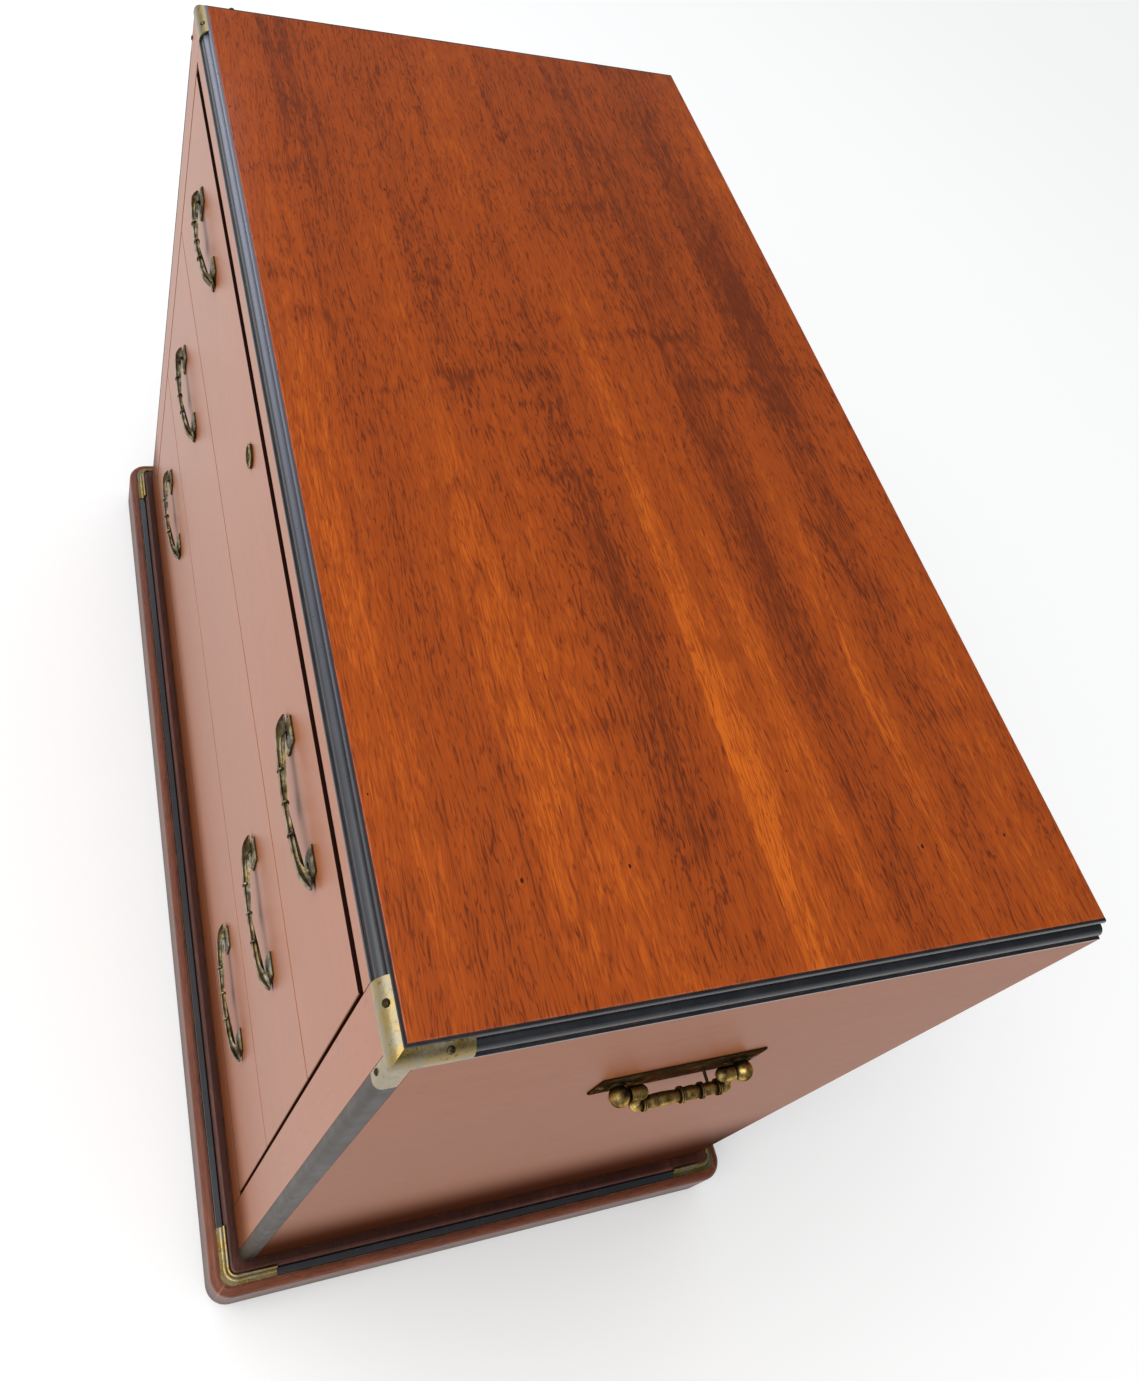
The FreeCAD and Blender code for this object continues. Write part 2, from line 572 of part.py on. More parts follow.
def brassCorner(rim):
    """L-shaped casting on the ebonised band: a ridge over the rim bead's arris, then a cove."""
    foot = "(plinthLedge + bandHeight)"
    outer, inner = "(ledgeOut - plinthFit)", "(ledgeOut - bandWidth - plinthFit)"
    ribIn, ribOut = "(rimWidth - brassLap)", "(rimWidth - brassLap + brassRib)"
    ribTop = "(plinthLedge + rimHeight + brassRise)"
    endX = f"(caseWidth / 2 + {outer} - brassArm)"
    endY = f"(brassArm - caseDepth / 2 - {outer})"
    body = newBody("brassCornerBody")

    def strip(name, near_, out, top, outerRound, innerRound):
        sketch = sketchOn(body, "XY_Plane", name, foot)
        ox, oy = f"(caseWidth / 2 + {out})", f"(0 - caseDepth / 2 - {out})"
        ix, iy = f"(caseWidth / 2 + {near_})", f"(0 - caseDepth / 2 - {near_})"
        bendX, bendY = f"({ox} - {outerRound})", f"({oy} + {outerRound})"
        foldX, foldY = f"({ix} - {innerRound})", f"({iy} + {innerRound})"
        outline(sketch, [(bendX, oy, bendX, bendY, outerRound), (ox, bendY), (ox, endY), (ix, endY),
                         (ix, foldY, foldX, foldY, innerRound), (foldX, iy), (endX, iy), (endX, oy)])
        return pad(body, sketch, f"{top} - {foot}", name + "Pad")
    strip("Flat", inner, outer, f"({foot} + brassThick)", "(plinthRound - plinthOut + ledgeOut - plinthFit)",
          "rimCorner")
    rib = strip("Rib", ribIn, ribOut, ribTop, "(rimCorner - brassLap + brassRib)", "(rimCorner - brassLap)")

    def alongRib(level):
        def test(e):
            m = middle(e)
            return (near(m.z, level) and m.x < size(f"caseWidth / 2 + {ribOut}") + 0.02
                    and m.y > size(f"0 - caseDepth / 2 - {ribOut}") - 0.02
                    and not near(m.x, endX) and not near(m.y, endY))
        return test
    cove = roundEdges(body, rib, "brassCove", alongRib(f"{foot} + brassThick"))
    roundEdges(body, cove, "brassRib * 0.45", alongRib(ribTop))
    one = cut("brassCornerOne", body, rim)
    left = mirrorX("brassCornerTwo", one)
    back = doc.addObject("Part::Mirroring", "brassCornerThree")
    back.Source = one
    back.Normal = FreeCAD.Vector(0, 1, 0)
    backLeft = mirrorX("brassCornerFour", back)
    group("base_corners", [one, left, back, backLeft])


# --- brass caps ---

capScrewX = "(caseWidth / 2 - capArm * 0.7)"
capScrewY = "(capArm * 0.7 - caseDepth / 2)"
capScrewDropX = "(caseWidth / 2 - cornerWidth * 0.7)"
capScrewDropZ = "(totalHeight - capDrop * 0.72)"
capScrewOut = f"({capCentre} + capBow * capScrewLean)"
capScrewUp = "sqrt(1 - capScrewLean ^ 2)"
capScrewZ = f"({mouldFoot} + capFoot + capBow * {capScrewUp})"
capLean = math.degrees(math.asin(size("capScrewLean")))
capScrewPlaces = {
    # place, direction of the head, axis and angle that turn an upright screw that way
    "Front": ((capScrewX, f"({topFront} - {capScrewOut})", capScrewZ), ("0", "0 - capScrewLean", capScrewUp),
              (1, 0, 0), capLean),
    "Side": ((f"({topHalf} + {capScrewOut})", capScrewY, capScrewZ), ("capScrewLean", "0", capScrewUp),
             (0, 1, 0), capLean),
    "Drop": ((capScrewDropX, frontPlane, capScrewDropZ), ("0", "0 - 1", "0"), (1, 0, 0), 90),
}


def screwHole(name, radius):
    """A hole through the cap, in line with the screw that has this name."""
    place, head, axis, angle = capScrewPlaces[name]
    hole = doc.addObject("Part::Cylinder", "capHole" + name)
    hole.Placement.Rotation = FreeCAD.Rotation(FreeCAD.Vector(*axis), angle)
    put(hole, *[f"{p} - ({n}) * capThick * 2" for p, n in zip(place, head)])
    bind(hole, Radius=radius, Height="capThick * 4")
    return hole


def capSection(outward):
    inner = "(capBow - capThick)"
    return facing([
        ("capLip", capLevel("capBow"), capCentre, "capFoot", "capBow"), ("mouldWidth", "capFoot"),
        ("mouldWidth", "0"), ("mouldWidth - capThick", "0"),
        ("mouldWidth - capThick", "capFoot", capCentre, "capFoot", inner), ("capLip", capLevel(inner))],
        outward)


def cornerCap():
    """Two bowed arms mitred over the corner of the top and a rounded leg down the corner strip."""
    front = newBody("capFrontArm", "(caseWidth / 2 - capArm)", topFront, mouldFoot)
    sketch = sketchOn(front, "YZ_Plane", "Section")
    outline(sketch, capSection("(0 - 1)"))
    pad(front, sketch, "capArm")
    mitre = sketchOn(front, "XY_Plane", "Mitre")
    outline(mitre, [("capArm - mouldWidth - 1", "1"), ("capArm + 1", "1"),
                    ("capArm + 1", "0 - mouldWidth - 1")])
    pocket(front, mitre, "mouldDrop * 2", "MitreCut", forward=True)
    side = newBody("capSideArm", topHalf, frontPlane, mouldFoot)
    sketch = sketchOn(side, "XZ_Plane", "Section")
    outline(sketch, capSection("1"))
    pad(side, sketch, "capArm", back=True)
    mitre = sketchOn(side, "XY_Plane", "Mitre")
    outline(mitre, [("0 - 1", "0 - 1"), ("mouldWidth + 1", "0 - 1"), ("0 - 1", "mouldWidth + 1")])
    pocket(side, mitre, "mouldDrop * 2", "MitreCut", forward=True)
    leg = newBody("capLeg", "(caseWidth / 2 - cornerWidth)", frontPlane, "(totalHeight - capDrop)")
    sketch = sketchOn(leg, "XY_Plane", "Section")
    bend = "(cornerWidth - cornerRound)"
    outline(sketch, [
        ("0", "0"), (bend, "0", bend, "cornerRound", "cornerRound"), ("cornerWidth", "cornerRound"),
        ("cornerWidth", "cornerReach"), ("cornerWidth - capThick", "cornerReach"),
        ("cornerWidth - capThick", "cornerRound", bend, "cornerRound", "cornerRound - capThick"),
        (bend, "capThick"), ("0", "capThick")])
    pad(leg, sketch, "capDrop - mouldDrop")
    whole = fuse("capWhole", front, side, leg)
    hole = "capScrewRadius / 2 + screwFit"
    cap = cut("cap_front_right", whole, screwHole("Front", hole), screwHole("Side", hole),
              screwHole("Drop", "capScrewRadius * 0.4 + screwFit"))
    keep(cap, "cap_front_right")
    keep(mirrorX("cap_front_left", cap), "cap_front_left")


def screw(name, headRadius, rise, length, x, y, z, axis, angle):
    """Round-head screw standing on a surface, its shank going in."""
    body = newBody(name, x, y, z)
    body.Placement.Rotation = FreeCAD.Rotation(axis, angle)
    sketch = sketchOn(body, "XZ_Plane", "Half")
    outline(sketch, [("0", rise), (f"{headRadius} * 0.6", f"{rise} * 0.8"), (headRadius, "0"),
                     (f"{headRadius} * 0.5", "0"), (f"{headRadius} * 0.5", f"3 - ({length})"),
                     ("0", f"0 - ({length})")])
    turned = body.newObject("PartDesign::Revolution", "Turned")
    turned.Profile = sketch
    turned.ReferenceAxis = (sketch, ["V_Axis"])
    turned.Angle = 360
    return body


def capScrews():
    things = []
    for name, (place, head, axis, angle) in capScrewPlaces.items():
        small = name == "Drop"
        things.append(screw("capScrew" + name, "capScrewRadius * 0.8" if small else "capScrewRadius",
                            "capScrewRise", "capScrewLength - 2" if small else "capScrewLength",
                            *place, FreeCAD.Vector(*axis), angle))
    group("cap_screws", things + [mirrorX(t.Name + "Left", t) for t in things])


# --- drawers ---

drawers = (("upper", upperSeam, topSlot, "headGap"), ("middle", lowerSeam, middleSlot, "seamGap / 2"),
           ("lower", openFoot, lowerSlot, "seamGap / 2"))
boxDepth = "(caseDepth - frontThick - backThick - backSpace)"
boxBack = f"({boxDepth} + {frameBack})"
tailLong = "(frontThick - tailLap)"


def drawerLevels(seam, slot):
    foot = f"({seam} + dividerThick / 2 + slideFit)"
    top = f"({seam} + {slot} - dividerThick / 2 - boxDrop)"
    return foot, top


def drawerFront(name, seam, slot, topGap):
    low = f"({seam} + seamGap / 2)"
    tall = f"({slot} - seamGap / 2 - {topGap})"
    foot, top = drawerLevels(seam, slot)
    body = board(f"drawer_front_{name}", f"0 - {boxHalf}", frontPlane, low, f"2 * {boxHalf}", "frontThick",
                 tall)
    last = roundEdges(body, body.Tip, "frontRound",
                      lambda e: near(middle(e).y, "0") and not runsAlong(e, 1))
    # half-blind dovetail sockets in the two ends, cut from the back face
    pitch = f"(({top} - {foot}) / tailCount)"
    first = f"({foot} - {low} + {pitch} / 2)"
    for side in ("Left", "Right"):
        at = "0" if side == "Left" else f"2 * {boxHalf}"
        sketch = sketchOn(body, "YZ_Plane", "Socket" + side, at)
        root, tip = f"({pitch} * 0.27 + woodFit)", f"({pitch} * 0.27 + tailSlope + woodFit)"
        outline(sketch, [("frontThick + 1", f"{first} - {root}"), ("tailLap - woodFit", f"{first} - {tip}"),
                         ("tailLap - woodFit", f"{first} + {tip}"), ("frontThick + 1", f"{first} + {root}")])
        socket = pocket(body, sketch, "boxThick + woodFit", "SocketCut" + side, forward=side == "Left")
        doc.recompute()
        repeat(body, socket, sketch, pitch)
    groove = sketchOn(body, "XZ_Plane", "Groove", "0 - frontThick")
    level = f"({foot} - {low} + grooveRise)"
    outline(groove, [("boxThick - grooveDepth", f"{level} - woodFit"),
                     (f"2 * {boxHalf} - boxThick + grooveDepth", f"{level} - woodFit"),
                     (f"2 * {boxHalf} - boxThick + grooveDepth", f"{level} + bottomBoard + woodFit"),
                     ("boxThick - grooveDepth", f"{level} + bottomBoard + woodFit")])
    pocket(body, groove, "grooveDepth + woodFit", "GrooveCut", forward=True)
    height = f"({slot} / 2 + pullRaise - seamGap / 2)"
    holes = sketchOn(body, "XZ_Plane", "StudHoles")
    for sign in ("-", "+"):
        for hand in ("-", "+"):
            circle(holes, f"{boxHalf} {sign} pullPlace {hand} pullSpan / 2", height, "studRadius + studFit")
    pocket(body, holes, "frontThick + 2", "StudHolesCut")
    if name == "upper":
        hole = sketchOn(body, "XZ_Plane", "KeyHole")
        circle(hole, boxHalf, f"{tall} - keyDrop + {topGap}", "keyRadius")
        pocket(body, hole, "frontThick + 2", "KeyHoleCut")
    keep(body, f"drawer_front_{name}")


def repeat(body, feature, sketch, pitch):
    """Repeat a cut or a tail up the height of the drawer."""
    pattern = body.newObject("PartDesign::LinearPattern", "Repeat")
    pattern.Originals = [feature]
    pattern.Direction = (sketch, ["V_Axis"])
    pattern.Mode = "Spacing"
    bind(pattern, Offset=pitch, Occurrences="tailCount")
    body.Tip = pattern
    doc.recompute()
    return pattern


def drawerSide(name, seam, slot):
    """Right-hand side board: tails on its front end, a groove for the bottom, a housing for the back."""
    foot, top = drawerLevels(seam, slot)
    tall = f"({top} - {foot})"
    body = board(f"drawer_side_{name}_right", f"{boxHalf} - boxThick", frameBack, foot, "boxThick", boxDepth,
                 tall)
    pitch = f"({tall} / tailCount)"
    sketch = sketchOn(body, "YZ_Plane", "Tail")
    root, tip = f"({pitch} * 0.27)", f"({pitch} * 0.27 + tailSlope)"
    centre = f"({pitch} / 2)"
    outline(sketch, [("0", f"{centre} - {root}"), (f"0 - {tailLong}", f"{centre} - {tip}"),
                     (f"0 - {tailLong}", f"{centre} + {tip}"), ("0", f"{centre} + {root}")])
    tail = pad(body, sketch, "boxThick", "TailPad")
    doc.recompute()
    repeat(body, tail, sketch, pitch)
    groove = sketchOn(body, "YZ_Plane", "Groove")
    outline(groove, [("0 - grooveDepth - woodFit", "grooveRise - woodFit"),
                     (f"{boxDepth} + 1", "grooveRise - woodFit"),
                     (f"{boxDepth} + 1", "grooveRise + bottomBoard + woodFit"),
                     ("0 - grooveDepth - woodFit", "grooveRise + bottomBoard + woodFit")])
    pocket(body, groove, "grooveDepth", "GrooveCut", forward=True)
    housing = sketchOn(body, "YZ_Plane", "Housing")
    outline(housing, [(f"{boxDepth} - 2 * boxThick - woodFit", "grooveRise"),
                      (f"{boxDepth} - boxThick + woodFit", "grooveRise"),
                      (f"{boxDepth} - boxThick + woodFit", f"{tall} + 1"),
                      (f"{boxDepth} - 2 * boxThick - woodFit", f"{tall} + 1")])
    pocket(body, housing, "grooveDepth", "HousingCut", forward=True)
    keep(body, f"drawer_side_{name}_right")
    keep(mirrorX(f"drawer_side_{name}_left", body), f"drawer_side_{name}_left")


def drawerInside(name, seam, slot):
    foot, top = drawerLevels(seam, slot)
    reach = f"({boxHalf} - boxThick + grooveDepth - woodFit)"
    keep(board(f"drawer_back_{name}", f"0 - {reach}", f"{boxBack} - 2 * boxThick",
               f"{foot} + grooveRise + bottomBoard + woodFit", f"2 * {reach}", "boxThick",
               f"{top} - {foot} - grooveRise - bottomBoard - woodFit - boxDrop"), f"drawer_back_{name}")
    keep(board(f"drawer_bottom_{name}", f"0 - {reach}", f"{frameBack} - grooveDepth", f"{foot} + grooveRise",
               f"2 * {reach}", f"{boxBack} - {frameBack} + grooveDepth - boxThick", "bottomBoard"),
         f"drawer_bottom_{name}")


def rosette(name, x, z):
    body = newBody(name, f"{x} - rosetteWidth / 2", frontPlane, f"{z} - rosetteHeight / 2")
    sketch = sketchOn(body, "XZ_Plane", "Outline")
    outline(sketch, [("0", "0"), ("rosetteWidth", "0"), ("rosetteWidth", "rosetteHeight"),
                     ("0", "rosetteHeight")])
    circle(sketch, "rosetteWidth / 2", "rosetteHeight / 2", "studRadius + studFit")
    plate = pad(body, sketch, "rosetteThick")
    roundEdges(body, plate, "rosetteBevel",
               lambda e: near(middle(e).y, "0 - rosetteThick") and not e.Closed, kind="Chamfer")
    return body


def turned(centre, along, across, profile, ball):
    """A turned piece: a profile of (radius, distance along) points, closed by half a ball at the centre.

    A third number is the radius half-way from the point before, where the profile swells.
    """
    def at(radius, distance):
        return centre + across * radius + along * distance
    corners = [at(*point[:2]) for point in profile]
    edges = []
    for a, b, before, point in zip(corners, corners[1:], profile, profile[1:]):
        swell = [at(point[2], (before[1] + point[1]) / 2)] if len(point) == 3 else []
        edges.append(Part.Arc(a, *swell, b).toShape() if swell else Part.makeLine(a, b))
    edges.append(Part.Arc(at(ball, 0), at(ball * math.sqrt(0.5), ball * math.sqrt(0.5)), at(0, ball)).toShape())
    edges.append(Part.makeLine(at(0, ball), corners[0]))
    return Part.Face(Part.Wire(edges)).revolve(centre, along, 360)


def bowShape(centreX, centreZ):
    """Cast bow with bamboo nodes: two studs into the drawer, elbows, and an arc bowed to the front."""
    y0 = -size("caseDepth / 2")
    half, reach, end = size("pullSpan / 2"), size("bowReach"), size("bowEnd")
    radius, knot, width = size("bowRadius"), size("nodeRadius"), size("nodeWidth")
    stud, studLength, plate = size("studRadius"), size("studLength"), size("rosetteThick")
    left = FreeCAD.Vector(centreX - half, y0 - end, centreZ)
    right = FreeCAD.Vector(centreX + half, y0 - end, centreZ)
    crown = FreeCAD.Vector(centreX, y0 - reach, centreZ - size("bowDroop"))
    arc = Part.Arc(left, crown, right)
    start, finish = arc.FirstParameter, arc.LastParameter
    bend = arc.toShape().Curve
    section = Part.Face(Part.Wire(Part.makeCircle(radius, left, FreeCAD.Vector(arc.tangent(start)[0]))))
    pieces = [section.revolve(bend.Center, bend.Axis, math.degrees(finish - start))]
    for share in (0.25, 0.5, 0.75):
        at = start + (finish - start) * share
        place, along = arc.value(at), FreeCAD.Vector(arc.tangent(at)[0])
        pieces.append(Part.makeCylinder(knot, width, place - along * (width / 2), along))
    for foot in (left, right):
        pieces.append(turned(foot, FreeCAD.Vector(0, -1, 0), FreeCAD.Vector(0, 0, 1),
                             [(0, -studLength - end), (stud, -studLength - end), (stud, plate - end),
                              (radius * 2, plate - end), (radius * 1.45, 0)], radius * 1.45))
    return pieces[0].fuse(pieces[1:])


def drawerPulls(name, seam, slot):
    height = f"({seam} + {slot} / 2 + pullRaise)"
    plates = []
    for hand, sign in (("Left", "0 - "), ("Right", "")):
        for side in ("-", "+"):
            plates.append(rosette(f"rosette{name}{hand}{'A' if side == '-' else 'B'}",
                                  f"{sign}pullPlace {side} pullSpan / 2", height))
    group(f"rosettes_{name}", plates)
    bows = doc.addObject("Part::Feature", f"pulls_{name}")
    bows.Shape = Part.Compound([bowShape(sign * size("pullPlace"), size(height)) for sign in (-1, 1)])
    keep(bows, f"pulls_{name}")


def keyPlate():
    """Round escutcheon with a raised rim, and the closed lock behind it."""
    z = f"({openTop} - keyDrop)"
    body = newBody("escutcheon", "0", frontPlane, z)
    sketch = sketchOn(body, "XZ_Plane", "Outline")
    circle(sketch, "0", "0", "plateRadius")
    pad(body, sketch, "plateThick")
    ring = sketchOn(body, "XZ_Plane", "Rim")
    circle(ring, "0", "0", "plateRadius")
    circle(ring, "0", "0", "plateRadius - plateRim")
    rim = pad(body, ring, "plateThick + plateRise", "RimPad")
    roundEdges(body, rim, "plateRim * 0.45", lambda e: near(middle(e).y, "0 - plateThick - plateRise"))
    eye = sketchOn(body, "XZ_Plane", "KeyEye")
    circle(eye, "0", "0", "keyRadius")
    pocket(body, eye, "plateThick * 3", "KeyEyeCut", forward=True)
    tail = sketchOn(body, "XZ_Plane", "KeyTail")
    outline(tail, [("0 - keySlot / 2", "0"), ("0 - keySlot / 2", "0 - keyTail"), ("keySlot / 2", "0 - keyTail"),
                   ("keySlot / 2", "0")])
    pocket(body, tail, "plateThick * 3", "KeyTailCut", forward=True)
    keep(body, "escutcheon")
    lock = board("lock", "0 - lockWidth / 2", frameBack, f"{z} - lockHeight / 2", "lockWidth", "lockDepth",
                 "lockHeight")
    hole = sketchOn(lock, "XZ_Plane", "KeyPin")
    circle(hole, "lockWidth / 2", "lockHeight / 2", "keyRadius")
    pocket(lock, hole, "lockDepth / 2", "KeyPinCut")
    keep(lock, "lock")


# --- side handles ---

axisOut = "(caseWidth / 2 + postOut)"
handleY = "(0 - handleForward)"
plateScrewY = ("(screwInset - backPlate / 2)", "(0 - screwSpread)", "screwSpread",
               "(backPlate / 2 - screwInset)")


def handlePlate():
    body = newBody("handle_plate_right", "caseWidth / 2", f"{handleY} - backPlate / 2",
                   "handleHeight - backPlateHeight / 2")
    sketch = sketchOn(body, "YZ_Plane", "Outline")
    outline(sketch, [("0", "0"), ("backPlate", "0"), ("backPlate", "backPlateHeight"),
                     ("0", "backPlateHeight")])
    for y in plateScrewY:
        circle(sketch, f"{y} + backPlate / 2", "backPlateHeight / 2", "screwRadius / 2 + screwFit")
    plate = pad(body, sketch, "backPlateThick")
    roundEdges(body, plate, "backPlateThick * 0.4",
               lambda e: near(middle(e).x, "backPlateThick") and not e.Closed, kind="Chamfer")
    # the end of the stop stud holds the bail off the plate
    stud = sketchOn(body, "YZ_Plane", "Stop")
    circle(stud, "backPlate / 2 + stopOffset", "backPlateHeight / 2 - gripDrop * sin(gripAngle)", "stopRadius")
    pad(body, stud, "postOut + gripDrop * cos(gripAngle) - gripEnd - stopGap * 2", "StopStud")
    keep(body, "handle_plate_right")
    keep(mirrorX("handle_plate_left", body), "handle_plate_left")


def handlePost(name, sign):
    """Turned post: flared foot, neck and ball, bored for the bail's pin."""
    body = newBody(name, "caseWidth / 2 + backPlateThick", f"{handleY} {sign} postSpan / 2", "handleHeight")
    sketch = sketchOn(body, "XZ_Plane", "Half")
    ballAt = "(postOut - backPlateThick)"
    points = [("0", "0"), ("0", "postFoot"), ("1", "postFoot"), (f"{ballAt} * 0.4", "postNeck"),
              (f"{ballAt} * 0.6", "postNeck"), (f"{ballAt} * 0.6", "0")]
    outline(sketch, points)
    turned = body.newObject("PartDesign::Revolution", "Turned")
    turned.Profile = sketch
    turned.ReferenceAxis = (sketch, ["H_Axis"])
    turned.Angle = 360
    ball = doc.addObject("Part::Sphere", name + "Ball")
    put(ball, axisOut, f"{handleY} {sign} postSpan / 2", "handleHeight")
    bind(ball, Radius="postBall")
    bore = doc.addObject("Part::Cylinder", name + "Bore")
    bore.Placement.Rotation = FreeCAD.Rotation(FreeCAD.Vector(1, 0, 0), 90)
    # the bore is blind: it opens on the inner side of the ball
    end = "postBall + 1" if sign == "-" else "pinReach - postBall + 1"
    put(bore, axisOut, f"{handleY} {sign} postSpan / 2 + {end}", "handleHeight")
    bind(bore, Radius="pinRadius + pinFit", Height="pinReach + 1")
    return cut(name + "Bored", fuse(name + "Solid", body, ball), bore)


def bailShape():
    """Right-hand bail: a turned bamboo grip, and at each end an elbow, an arm, a knuckle and a pin."""
    drop, angle = size("gripDrop"), math.radians(size("gripAngle"))
    axis = FreeCAD.Vector(size(axisOut), size(handleY), size("handleHeight"))
    outward = FreeCAD.Vector(math.cos(angle), 0, -math.sin(angle))
    across = FreeCAD.Vector(math.sin(angle), 0, math.cos(angle))
    half, place = size("gripSpan / 2"), size("armPlace")
    thick, thin = size("gripRadius"), size("gripEnd")
    ring, width = size("ringRadius"), size("ringWidth") / 2
    elbow, knuckle, start = size("elbowRadius"), size("knuckleRadius"), size("knuckleStart")
    ballFace = size("postSpan / 2 - postBall")
    pin, pinEnd = size("pinRadius"), ballFace + size("pinReach - pinGap")
    pieces = []
    for side, nodes in ((-1, [0, half]), (1, [0, half * size("ringShare"), half])):
        along = FreeCAD.Vector(0, side, 0)
        profile = [(0, -place)]
        for node in nodes:
            if node:
                reach = (node + last) / 2
                profile.append((thin, node - width - place, thin + (thick - thin) * (1 - reach / half * 0.8)))
                profile += [(ring, node - width - place), (ring, node - width * 0.2 - place)]
            profile += [(ring * 0.85, node - (width * 0.2 if node else 0) - place),
                        (ring * 0.85, node + width * 0.2 - place), (ring, node + width * 0.2 - place),
                        (ring, node + width - place), (thin, node + width - place)]
            last = node
        profile.append((elbow, 0))
        pieces.append(turned(axis + outward * drop + along * place, along, across, profile, elbow))
        pieces.append(turned(axis + along * start, along * -1, across,
                             [(0, start - pinEnd), (pin, start - pinEnd), (pin, start - ballFace + size("pinGap")),
                              (knuckle, start - ballFace + size("pinGap")), (knuckle, 0)], knuckle))
        pieces.append(Part.makeCylinder(size("armRadius"), drop, axis + along * place, outward))
    return pieces[0].fuse(pieces[1:])


def sideHandles():
    handlePlate()
    one, two = handlePost("postFront", "-"), handlePost("postBack", "+")
    posts = group("handle_posts_right", [one, two])
    keep(mirrorX("handle_posts_left", posts), "handle_posts_left")
    right = doc.addObject("Part::Feature", "bail_right")
    right.Shape = bailShape()
    keep(right, "bail_right")
    keep(mirrorX("bail_left", right), "bail_left")
    screws = []
    aside = FreeCAD.Vector(0, 1, 0)
    for n, y in enumerate(plateScrewY):
        one = screw(f"plateScrew{n}", "screwRadius", "screwRise", "screwLength",
                    "caseWidth / 2 + backPlateThick", f"{handleY} + {y}", "handleHeight", aside, 90)
        screws += [one, mirrorX(f"plateScrewLeft{n}", one)]
    group("handle_screws", screws)


topPanel()
frontMoulding()
sideMoulding()
cornerMoulding()
sidePanel()
stile()
rails()
caseInside()
runners()
plinthBoards()
brassCorner(plinthTrim())
cornerCap()
capScrews()
for drawerName, drawerSeam, drawerSlot, gap in drawers:
    drawerFront(drawerName, drawerSeam, drawerSlot, gap)
    drawerSide(drawerName, drawerSeam, drawerSlot)
    drawerInside(drawerName, drawerSeam, drawerSlot)
    drawerPulls(drawerName, drawerSeam, drawerSlot)
keyPlate()
sideHandles()
doc.recompute()

faults = [f"{thing.Label}: {thing.State}" for thing in doc.Objects
          if "Invalid" in thing.State or "Error" in thing.State]
for piece in parts:
    if piece.Shape.isNull() or not piece.Shape.isValid():
        faults.append(f"{piece.Label}: shape is null or not valid")
if faults:
    raise RuntimeError("; ".join(faults))

os.makedirs("parts", exist_ok=True)
for piece in parts:
    piece.Shape.exportStep(f"parts/{piece.Label}.step")
print(len(parts), "sub-parts written")
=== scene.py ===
import math

import bmesh
import bpy
from mathutils import Euler, Matrix, Vector


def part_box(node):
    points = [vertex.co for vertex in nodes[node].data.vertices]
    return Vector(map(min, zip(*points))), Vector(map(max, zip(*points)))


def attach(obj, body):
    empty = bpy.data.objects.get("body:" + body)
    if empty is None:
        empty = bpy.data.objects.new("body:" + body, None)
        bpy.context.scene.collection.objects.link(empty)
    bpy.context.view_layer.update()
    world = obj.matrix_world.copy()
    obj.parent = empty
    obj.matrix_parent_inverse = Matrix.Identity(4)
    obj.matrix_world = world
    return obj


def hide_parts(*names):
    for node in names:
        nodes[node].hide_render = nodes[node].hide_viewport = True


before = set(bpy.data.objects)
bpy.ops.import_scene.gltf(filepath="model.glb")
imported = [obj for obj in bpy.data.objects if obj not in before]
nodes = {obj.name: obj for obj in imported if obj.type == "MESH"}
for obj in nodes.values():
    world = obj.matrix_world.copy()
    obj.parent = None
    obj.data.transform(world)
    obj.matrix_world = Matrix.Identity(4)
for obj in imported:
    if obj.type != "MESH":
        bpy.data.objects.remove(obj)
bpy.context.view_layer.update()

# camera, floor and light

cameraView = {
    "place": (0.58674, -0.39107, 1.28941),
    "turn": (36.2738, -17.0748, 75.3189),    # degrees about x, y, z
    "lens": 31.343,
    "filmHeight": 36,
    "shift": (0.0370, -0.0591),
}

studio = {
    "floorSize": 14,
    "floorDrop": 0.0004,              # below the feet
    "floorTone": (0.62, 0.62, 0.62, 1),
    "floorRough": 0.9,
    "floorLift": 0.47,                # added where the floor is seen, straight or in a reflection
    "floorShadowReach": 0.60,               # how far from the object this fades: a painted shadow around the object
    "skyTone": (0.97, 0.985, 1.0, 1),
    "skyLevels": (0.62, 0.09),        # near the horizon, and overhead
    "skyBand": (0.05, 0.55),          # heights between which one passes into the other
    "glow": 1.15,                     # broad light of the open front, and where it comes from
    "glowFrom": (0.20, -0.84, 0.50),
    "glowBand": (0.0, 0.8),
    "lamps": [                        # name, place, aimed at, width, height, watts, colour
        ("keyPanel", (0.80, -1.4, 2.6), (0.1, 0, 0.4), 3.0, 2.4, 50, (1, 0.985, 0.96)),
        ("fillPanel", (-2.6, -1.4, 2.2), (0, 0, 0.5), 1.8, 1.4, 12, (0.95, 0.98, 1)),
        ("windowPanel", (-2.05, -0.45, 2.27), (-0.1, -0.2, 0.7), 1.3, 0.7, 3, (0.70, 0.84, 1)),
    ],
}


def makeCamera(view):
    data = bpy.data.cameras.new("mainCamera")
    data.sensor_fit = "VERTICAL"
    data.sensor_height = view["filmHeight"]
    data.lens = view["lens"]
    data.shift_x, data.shift_y = view["shift"]
    camera = bpy.data.objects.new("mainCamera", data)
    camera.location = view["place"]
    camera.rotation_euler = Euler([math.radians(a) for a in view["turn"]], "XYZ")
    bpy.context.scene.collection.objects.link(camera)
    bpy.context.scene.camera = camera


def makeLamp(name, place, aim, width, height, watts, colour):
    data = bpy.data.lights.new(name, "AREA")
    data.shape = "RECTANGLE"
    data.size, data.size_y = width, height
    data.energy, data.color = watts, colour
    lamp = bpy.data.objects.new(name, data)
    lamp.location, lamp.visible_camera = place, False
    away = Vector(place) - Vector(aim)
    lamp.rotation_euler = away.to_track_quat("Z", "Y").to_euler()
    bpy.context.scene.collection.objects.link(lamp)


